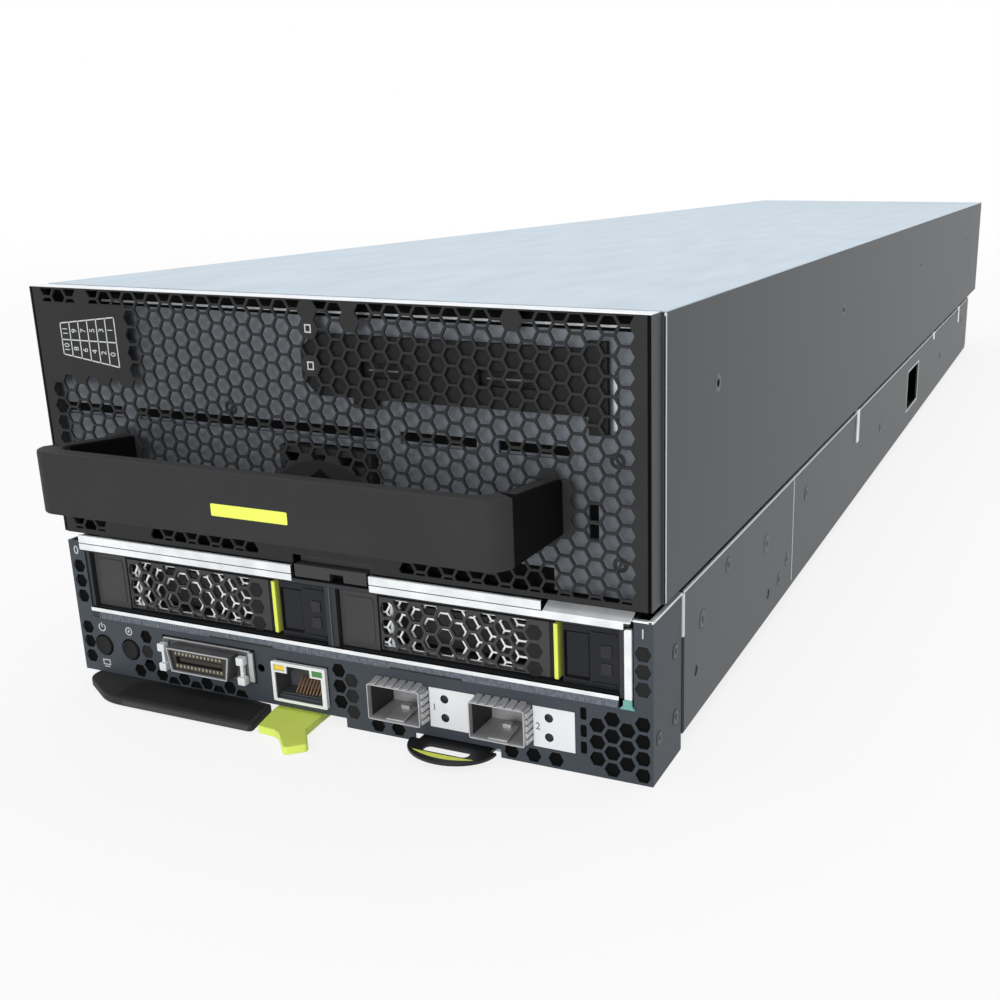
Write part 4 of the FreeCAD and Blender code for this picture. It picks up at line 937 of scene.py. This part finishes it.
def data_port():
    """Wide data connector: flange, D-shaped shell, contact block and pale latch lugs."""
    nose = [(33.9, 15.8), (35, 9), (53.4, 9), (54.5, 15.8)]
    lip = [(34.3, 15.45), (35.3, 9.35), (53.1, 9.35), (54.1, 15.45)]
    mouth = [(34.8, 15.1), (35.7, 9.7), (52.7, 9.7), (53.6, 15.1)]
    # Pale strips along the flange's top and right side and round the shell's nose: painted highlights where
    # the lamps catch the metal edges.
    ridge = block(30.2, 58.8, -0.15, 0.3, 16.6, 17.05, 0.1)
    rim = sheet(nose, [lip], -3.55, -3.25, 0.05)
    bracket = block(58.4, 60, -0.6, 0.2, 8.4, 16.8, 0.2)
    piece("data_port_highlights", [ridge, rim, bracket], "connector_metal", "shell_steel")
    flange = sheet(rounded(29.5, 59.5, 8, 17, 1.2), [rounded(31.6, 57.2, 8.8, 16.3, 1)], 0, 1)
    shell = sheet(nose, [mouth], -3.5, 1, 0.25)
    body = block(32.5, 56.5, 1.9, 16, 6.4, 17, 0.2)
    backing = sheet(rounded(31.2, 57.6, 8.4, 16.7, 1), [mouth], 0.4, 0.9)
    parts = [flange, shell, body, backing]
    piece("data_port_shell", parts, "connector_metal", "dark_shell", "kvm_connector")
    core = sheet(mouth, [rect(36.6, 51.8, 11.4, 13.4)], -2.9, 1.8, 0.1)
    blade = block(37.2, 51.2, -2.4, 1.6, 11.8, 13)
    piece("data_port_core", [core, blade], "black_plastic", "tan_plastic", "kvm_tongue")
    pins = []
    for i in range(13):
        for start, w in ((36.4, 10.3), (36.2, 13.9)):
            u = start + i * 1.22
            pins.append(block(u, u + 0.62, -3, 1.4, w, w + 0.85, 0.08, 1))
    piece("data_port_pins", pins, "connector_metal", "pin_metal")
    lugs = []
    for u in (29.2, 55.4):
        lugs += [block(u, u + 2.4, -1.9, 0.1, w, w + 2.3, 0.3) for w in (7.6, 13.2)]
        lugs.append(block(u + 0.5, u + 1.5, -1, 0.1, 9.8, 13.3))
    piece("data_port_lugs", lugs, "pale_plastic", "white_plastic")


def network_jack():
    """Shielded modular jack with two indicators and eight contacts."""
    left, right = 65.9, 82.7
    low, high = 4.6, 15.9
    middle = (left + right) / 2
    key = (middle - 3.6, middle + 3.6)
    sill, step, top = 5.4, 12.9, 15
    mouth = [(66.9, sill), (81.3, sill), (81.3, step), (key[1], step), (key[1], top)]
    mouth += [(key[0], top), (key[0], step), (66.9, step)]
    lamps = [rect(66.7, middle - 4.3, 13.4, top), rect(middle + 4.3, 81.8, 13.4, top)]
    face = sheet(rounded(left, right, low, high, 0.5), [mouth] + lamps, -0.8, -0.35)
    skirt = rounded(left + 0.1, right - 0.1, low + 0.1, high - 0.1, 0.4)
    rim = sheet(skirt, [rect(66.5, 81.9, 5, 15.4)], -0.45, 0.5)
    body = block(67, 82.5, 5.9, 20, 6.4, 15.9, 0.2)
    spring = block(left - 0.15, left + 0.3, -0.6, 0.4, 7, 12, 0.1)
    parts = [face, rim, body, spring]
    piece("network_jack_shield", parts, "connector_metal", "white_plastic", "mgmt_jack")
    liner = sheet(rect(66.6, 81.8, 5.1, 15.3), [mouth], -0.34, 5.5, 0.05)
    back = block(66.6, 81.8, 5.4, 6, 5.1, 15.3, 0)
    ledge = block(66.8, 81.4, 1.2, 5.5, 5.2, 6.5, 0.1)
    piece("network_jack_liner", [liner, back, ledge], "black_plastic", "jack_inside")
    contacts = []
    for i in range(8):
        u = middle - 3.2 + 1.02 * i
        contacts.append(wedge(u, u + 0.5, (1.8, 6.5, 6.8), (4.8, 10, 10.3), 0.05))
    piece("network_jack_contacts", contacts, "connector_metal", "gold_contact")
    for colour, u0, u1 in (("amber", 66.8, middle - 4.4), ("green", middle + 4.4, 81.7)):
        lamp = block(u0, u1, -0.7, 0.6, 13.5, 14.9, 0.2)
        piece(f"network_jack_{colour}", [lamp], "pale_plastic", f"{colour}_lamp")


def transceiver_cage(index):
    """Folded cage with spring fingers and a latch tab in its floor; inside, the left wall and ceiling are
    painted dark as shade, and the floor, right wall and back plug painted paler as lit.
    """
    node = f"sfp_cage_{index}"
    u0, u1, front, back, w0, w1 = panel_box(node)
    wall = 0.3
    left, right, low, high = u0 + wall, u1 - wall, w0 + wall, w1 - wall
    middle = (u0 + u1) / 2
    tube = sheet(rounded(u0, u1, w0, w1, 0.5), [rounded(left, right, low, high, 0.3)], front, back, 0.1)
    rear = block(left, right, back - 0.8, back - 0.2, low, high, 0.05)
    root = (front + 7, w0 + 1.2, w0 + 1.6)
    tab = wedge(middle - 2.6, middle + 2.6, (front + 0.4, w0 + 0.45, w0 + 0.9), root)
    stop = block(middle - 1.2, middle + 1.2, front + 5.4, front + 7, w0 + 1.2, w0 + 2.4, 0.1)
    parts = [tube, rear, tab, stop]
    margin = 0.8
    above, beside = 6, 5
    pitch = (u1 - u0 - margin) / above
    for i in range(above):
        u = u0 + 0.5 + i * pitch
        tip, foot = (front + 0.3, w1 - 0.1, w1 + 0.12), (0.4, w1 - 0.1, w1 + 0.75)
        parts.append(wedge(u, u + pitch * 0.74, tip, foot))
    pitch = (w1 - w0 - margin) / beside
    for i in range(beside):
        w = w0 + 0.5 + i * pitch
        parts.append(block(u1 - 0.1, u1 + 0.5, front + 0.8, 0.4, w, w + pitch * 0.7, 0.12))
    piece(f"transceiver_cage_{index}", parts, "galvanised", "cage_steel", node)
    # Left wall and ceiling in near-black: painted shade inside the cage.
    deep = (front + 1.5, back - 1)
    wall_left = (left - 0.05, left + 0.1, *deep, low, high)
    ceiling = (left, right, *deep, high - 0.1, high + 0.05)
    piece(f"cage_painted_shade_{index}", blocks(0.02, wall_left, ceiling), "black_plastic", "cage_shade_dark")
    # Floor, right wall and back plug in pale grey: painted light inside the cage.
    end = front + 11
    near = (front + 0.3, end)
    floor = (left + 0.1, right, *near, low - 0.05, low + 0.1)
    wall_right = (right - 0.1, right + 0.05, *near, low, high)
    plug = block(left + 0.1, right - 0.1, end, end + 4, low, high, 0.05)
    piece(f"cage_painted_light_{index}", [*blocks(0.02, floor, wall_right), plug], "galvanised", "cage_painted_light")


def port_plate():
    """Plate round the cages with pale labels, indicator windows and plain numerals."""
    lamps = [(u, w) for u in (116.9, 145.4) for w in (13.1, 8)]
    lap = 0.15
    holes = []
    for index in range(2):
        u0, u1, _, _, w0, w1 = panel_box(f"sfp_cage_{index}")
        holes.append(rect(u0 + lap, u1 - lap, w0 + lap, w1 - lap))
    holes += [circle(u, w, 1.15, 20) for u, w in lamps]
    plate = sheet(rect(*CAGE_CUT), holes, 0.5, 1.5, 0.02)
    piece("port_plate_face", [plate], "slate_paint", "slate_paint", "port_plate")
    labels = []
    for u0, u1 in ((112.6, 125.4), (141.2, 152.2)):
        inside = [circle(u, w, 1.15, 20) for u, w in lamps if u0 < u < u1]
        labels.append(sheet(rect(u0, u1, 5.1, 15.8), inside, 0.42, 0.6, 0.03))
    piece("port_labels", labels, "pale_plastic", "white_plastic")
    dome = [(0, -0.6), (1.13, -0.6), (1.13, -0.1), (0.6, 0.1), (0, 0.15)]
    windows = [lathe(dome, row(u, 0.6, w), (0, -1, 0), 16) for u, w in lamps]
    piece("port_plate_lamps", windows, "black_plastic", "black_plastic")
    numbers = [digits(number, 2.6, u, 10.5, 0.39) for number, u in (("1", 114), ("2", 142.5))]
    piece("port_numbers", numbers, "black_plastic", "grey_print")


# Lever and card under the front edge


def card_ring():
    """Slide-out card with a half-oval pull ring and a coloured stripe on it."""
    centre, half, reach, root = 120, 12, 8.9, -1.6
    steps = 20
    oval = [(centre + half * a, root + reach * b) for a, b in arc(0, 0, 1, 180, 360, steps)]
    hole = rounded(centre - 6.3, centre + 6.3, root - 4.8, root - 1.6, 1.3)
    ring = sheet(oval, [hole], 1.5, 2.4, 0.2, lying)
    card = block(centre - 10, centre + 10, root - 0.3, 55, 1, 2, 0.1)
    piece("card_ring", [ring, card], "black_plastic", "black_plastic", "label_card", body="label_card")
    along = [(-1 + 2 * i / steps) for i in range(steps + 1)]
    lens = [(centre + 8.4 * t, -6.9 - 1.9 * (1 - t * t)) for t in along]
    lens += [(centre + 8.4 * t, -6.8 - 0.3 * (1 - t * t)) for t in reversed(along)]
    stripe = sheet(lens, [], 2.35, 2.45, 0.02, lying)
    piece("card_stripe", [stripe], "lime_plastic", "lime_plastic", body="label_card")


def lever_pad():
    """Raised grip on top of the ejector lever, and a paler strip along its front as painted highlight on the
    lit front edge.
    """
    outline = [(21, -9.6), (64.6, -9.6), (62.8, -1), (24, 1.6), (20, -4)]
    pad = sheet(outline, [], 2.4, 2.65, 0.1, lying)
    piece("lever_pad", [pad], "black_plastic", "indicator_paint", body="ejector_lever")
    # Paler strip on the front face: painted highlight on the lit front edge.
    rim = block(24, 65.6, -11.15, -10.7, 0.45, 2)
    piece("lever_painted_highlight", [rim], "grey_plastic", "carrier_plastic", body="ejector_lever")


# Sides


def side_screws():
    """Countersunk screws, black discs in their recesses as painted shade, and the rear seam on both sides of
    the drawer.
    """
    parts = []
    dots = []
    for v in SCREW_V:
        for place, axis in SIDES:
            parts.append(head(SCREW_HEAD, place(v, SCREW_W, 0.83), axis, 2.4))
            # Black disc in each head's dished middle: painted shade in the recess.
            dots.append(sheet(circle(v, SCREW_W, 1, 12), [], 0.6, 0.95, 0.05, place))
    seam = rect(655, 655.4, 44.2, 109)
    parts += [sheet(seam, [], 0.78, 0.84, 0.01, place) for place, _ in SIDES]
    on_drawer("drawer_screws", parts, "side_steel", "screw_steel")
    on_drawer("screw_recesses", dots, "black_plastic", "void_black")


def chassis_fixings():
    """Rivets with their seats on the sides of the compute tray: v, w and radius of each."""
    spots = [(15.5, 28.3, 1.7), (15.7, 10.9, 1.7), (4.4, 10.9, 1.5), (35, 29.1, 2.3), (57, 36.3, 2)]
    spots += [(123.4, 15.9, 2), (113.9, 12.1, 2), (97, 29.6, 2.8), (150, 31, 2.2)]
    spots += [(300, 22, 2.2), (520, 22, 2.2), (640, 30, 2.2)]
    parts = []
    seats = []
    for v, w, radius in spots:
        face = 0.3 if 21 < v < 130 else 0
        seat, hole = circle(v, w, radius + 0.4, 20), circle(v, w, radius * 0.98, 20)
        for place, axis in SIDES:
            parts.append(head(RIVET_HEAD, place(v, w, face), axis, radius))
            seats.append(sheet(seat, [hole], face - 0.1, face + 0.08, 0.02, place))
            seats.append(sheet(circle(v, w, radius * 0.3, 12), [], face - 0.2, face + 0.1, 0.02, place))
    piece("fixing_seats", seats, "side_steel", "frame_steel")
    piece("chassis_fixings", parts, "side_steel", "screw_steel")


def side_plates():
    """Overlapping front plate on each side of the compute tray."""
    outline = [(21.2, 4.2), (129, 4.2), (130.4, 6), (130.4, 41.2), (21.2, 41.2)]
    holes = [circle(100.5, 12, 1.6, 20), circle(30.2, 16.9, 1.4, 20)]
    parts = [sheet(outline, holes, -0.05, 0.35, 0.1, place) for place, _ in SIDES]
    piece("chassis_side_plates", parts, "side_steel", "tray_steel")


def bare_edges():
    """Bare cut edges of the painted side sheets."""
    low, high = BEZEL_W
    edge = 0.05
    parts = []
    for u0, u1 in ((WIDTH + 0.45, WIDTH + 0.86), (-0.86, -0.45)):
        parts.append(block(u0, u1, RETURN_DEPTH, 6.9, low + 0.2, high + 0.7, edge))
    on_drawer("drawer_bare_edges", parts, "galvanised", "white_plastic")
    spans = ((130.5, 131, 6, 41), (20.3, 21.2, 30, 41.2))
    spans += ((21, 678, 41.2, 41.75), (677.6, 678.4, 6, 41.2))
    parts = []
    for u0, u1 in ((WIDTH - 0.2, WIDTH + 0.4), (-0.4, 0.2)):
        parts += [block(u0, u1, *span, edge) for span in spans]
    parts.append(framed(381.4, 421.6, 12.4, 34.6, 0.8, -0.2, 0.08, 0.02, right_side))
    piece("chassis_bare_edges", parts, "galvanised", "white_plastic")


# Pieces

grille()
bay_map()
grille_marks()
drive_plate()
indicator_plate()
top_edge()
cover()
pull_handle()
front_panel()
panel_prints()
for button in BUTTON_U:
    push_button(button)
gasket()
bay_trim()
for index in range(2):
    lever_mesh(index)
    inner_mesh(index)
    lever_stripe(index)
    carrier_trim(index)
    transceiver_cage(index)
data_port()
network_jack()
port_plate()
card_ring()
lever_pad()
side_screws()
chassis_fixings()
side_plates()
bare_edges()

SOFT_NODES = (
    ("bay_frame", "frame_steel", 0.1),
    ("ejector_lever", "handle_plastic", 0.35),
    ("ejector_latch", "latch_lime", 0.4),
    ("drawer_latch", "carrier_plastic", 0.15),
    ("release_button_0", "block_plastic", 0.4),
    ("release_button_1", "block_plastic", 0.4),
    ("lid_hooks", "bright_steel", 0.2),
    ("bay_clip", "teal_plastic", 0.15),
    ("hard_drives", "cast_aluminium", 0.6),
    ("carrier_drive_0", "cast_aluminium", 0.4),
    ("carrier_drive_1", "cast_aluminium", 0.4),
)
for node, material, width in SOFT_NODES:
    softened(node, material, width)

BOARDS = ("main_board", "io_board", "nic_board", "button_board", "bay_backplane", "drawer_backplane")
NODE_MATERIALS = (
    ("side_steel", ("drawer_tray",)),
    ("tray_steel", ("base_tray",)),
    ("lid_steel", ("chassis_lid", "slide_outer", "slide_middle", "slide_inner", "card_guide")),
    ("shell_steel", ("eject_pins", "lever_pin_0", "lever_pin_1", "board_standoffs", "guide_sockets")),
    ("carrier_plastic", ("carrier_0", "carrier_1")),
    ("charcoal_paint", ("latch_housing",)),
    ("black_plastic", ("power_connector", "signal_connector", "memory_sockets")),
    ("board_green", ("memory_modules", *BOARDS)),
    ("cast_aluminium", ("processors", "heat_sinks")),
)
for material, names in NODE_MATERIALS:
    for name in names:
        mesh = NODES[name].data
        mesh.materials.clear()
        mesh.materials.append(MATERIAL[material])


# Stage, light and camera


def seen_directly(tree):
    """1 for rays from the camera, from mirrors and through glass, 0 for the light on the object."""
    path = added(tree, "LightPath", {})
    either = combined(tree, "MAXIMUM", path.outputs["Is Camera Ray"], path.outputs["Is Glossy Ray"])
    return combined(tree, "MAXIMUM", either, path.outputs["Is Transmission Ray"])


def studio_floor(reach, shadow_share, shadow_reach):
    """White floor that keeps the object's shadow near it and fades into the backdrop further off."""
    mesh = bpy.data.meshes.new("studio_floor")
    corners = [(x, y, 0) for x, y in rect(-reach, reach, -reach, reach)]
    mesh.from_pydata(corners, [], [(0, 1, 2, 3)])
    floor = shown("studio_floor", mesh)
    paper = bpy.data.materials.new("studio_paper")
    paper.use_nodes = True
    tree = paper.node_tree
    looks = {"Base Color": (0.9, 0.9, 0.9, 1), "Roughness": 0.9, "Specular IOR Level": 0.1}
    shader = feed(tree, tree.nodes["Principled BSDF"], looks)
    where = added(tree, "TexCoord", {})
    shrink = [1 / shadow_reach] * 3
    mapping = added(tree, "Mapping", {"Scale": shrink, "Vector": where.outputs["Object"]})
    fade = added(tree, "TexGradient", {"Vector": mapping.outputs["Vector"]})
    fade.gradient_type = "QUADRATIC_SPHERE"
    ends = {"From Max": 0.6, "To Min": 1, "To Max": 1 - shadow_share, "Value": fade.outputs["Fac"]}
    share = added(tree, "MapRange", ends)
    both = combined(tree, "MULTIPLY", share.outputs["Result"], seen_directly(tree))
    glow = added(tree, "Emission", {})
    mix = added(tree, "MixShader", {"Fac": both, 1: shader.outputs["BSDF"], 2: glow.outputs["Emission"]})
    feed(tree, tree.nodes["Material Output"], {"Surface": mix.outputs["Shader"]})
    mesh.materials.append(paper)


def studio_world(ambient):
    """Even white surroundings: full white where seen or mirrored, dimmer as light on the object."""
    world = bpy.data.worlds.new("studio")
    bpy.context.scene.world = world
    world.use_nodes = True
    tree = world.node_tree
    level = added(tree, "MapRange", {"To Min": ambient, "To Max": 1, "Value": seen_directly(tree)})
    looks = {"Color": (1, 1, 1, 1), "Strength": level.outputs["Result"]}
    feed(tree, tree.nodes["Background"], looks)


def soft_lamp(name, place, target, size, watts):
    lamp = bpy.data.lights.new(name, "AREA")
    lamp.shape = "SQUARE"
    lamp.size = size
    lamp.energy = watts
    holder = shown(name, lamp)
    holder.location = place
    holder.rotation_euler = (Vector(target) - Vector(place)).to_track_quat("-Z", "Y").to_euler()


def photo_camera():
    lens = bpy.data.cameras.new("photo_camera")
    lens.sensor_width = 36
    lens.lens = CAMERA_LENS
    lens.shift_x, lens.shift_y = CAMERA_SHIFT
    lens.clip_start = 0.01
    camera = shown("photo_camera", lens)
    camera.location = row(*CAMERA_PLACE)
    camera.rotation_euler = [math.radians(angle) for angle in CAMERA_TURN]
    bpy.context.scene.camera = camera


studio_floor(reach=6, shadow_share=0.18, shadow_reach=2.2)
studio_world(ambient=0.48)
soft_lamp("top_lamp", (0, 0.1, 1.6), (0, 0.1, 0), size=1.8, watts=14)
soft_lamp("front_lamp", (0.1, -1.9, 0.35), (0, -0.3, 0.06), size=0.9, watts=13)
photo_camera()
bpy.context.scene.view_settings.view_transform = "Standard"
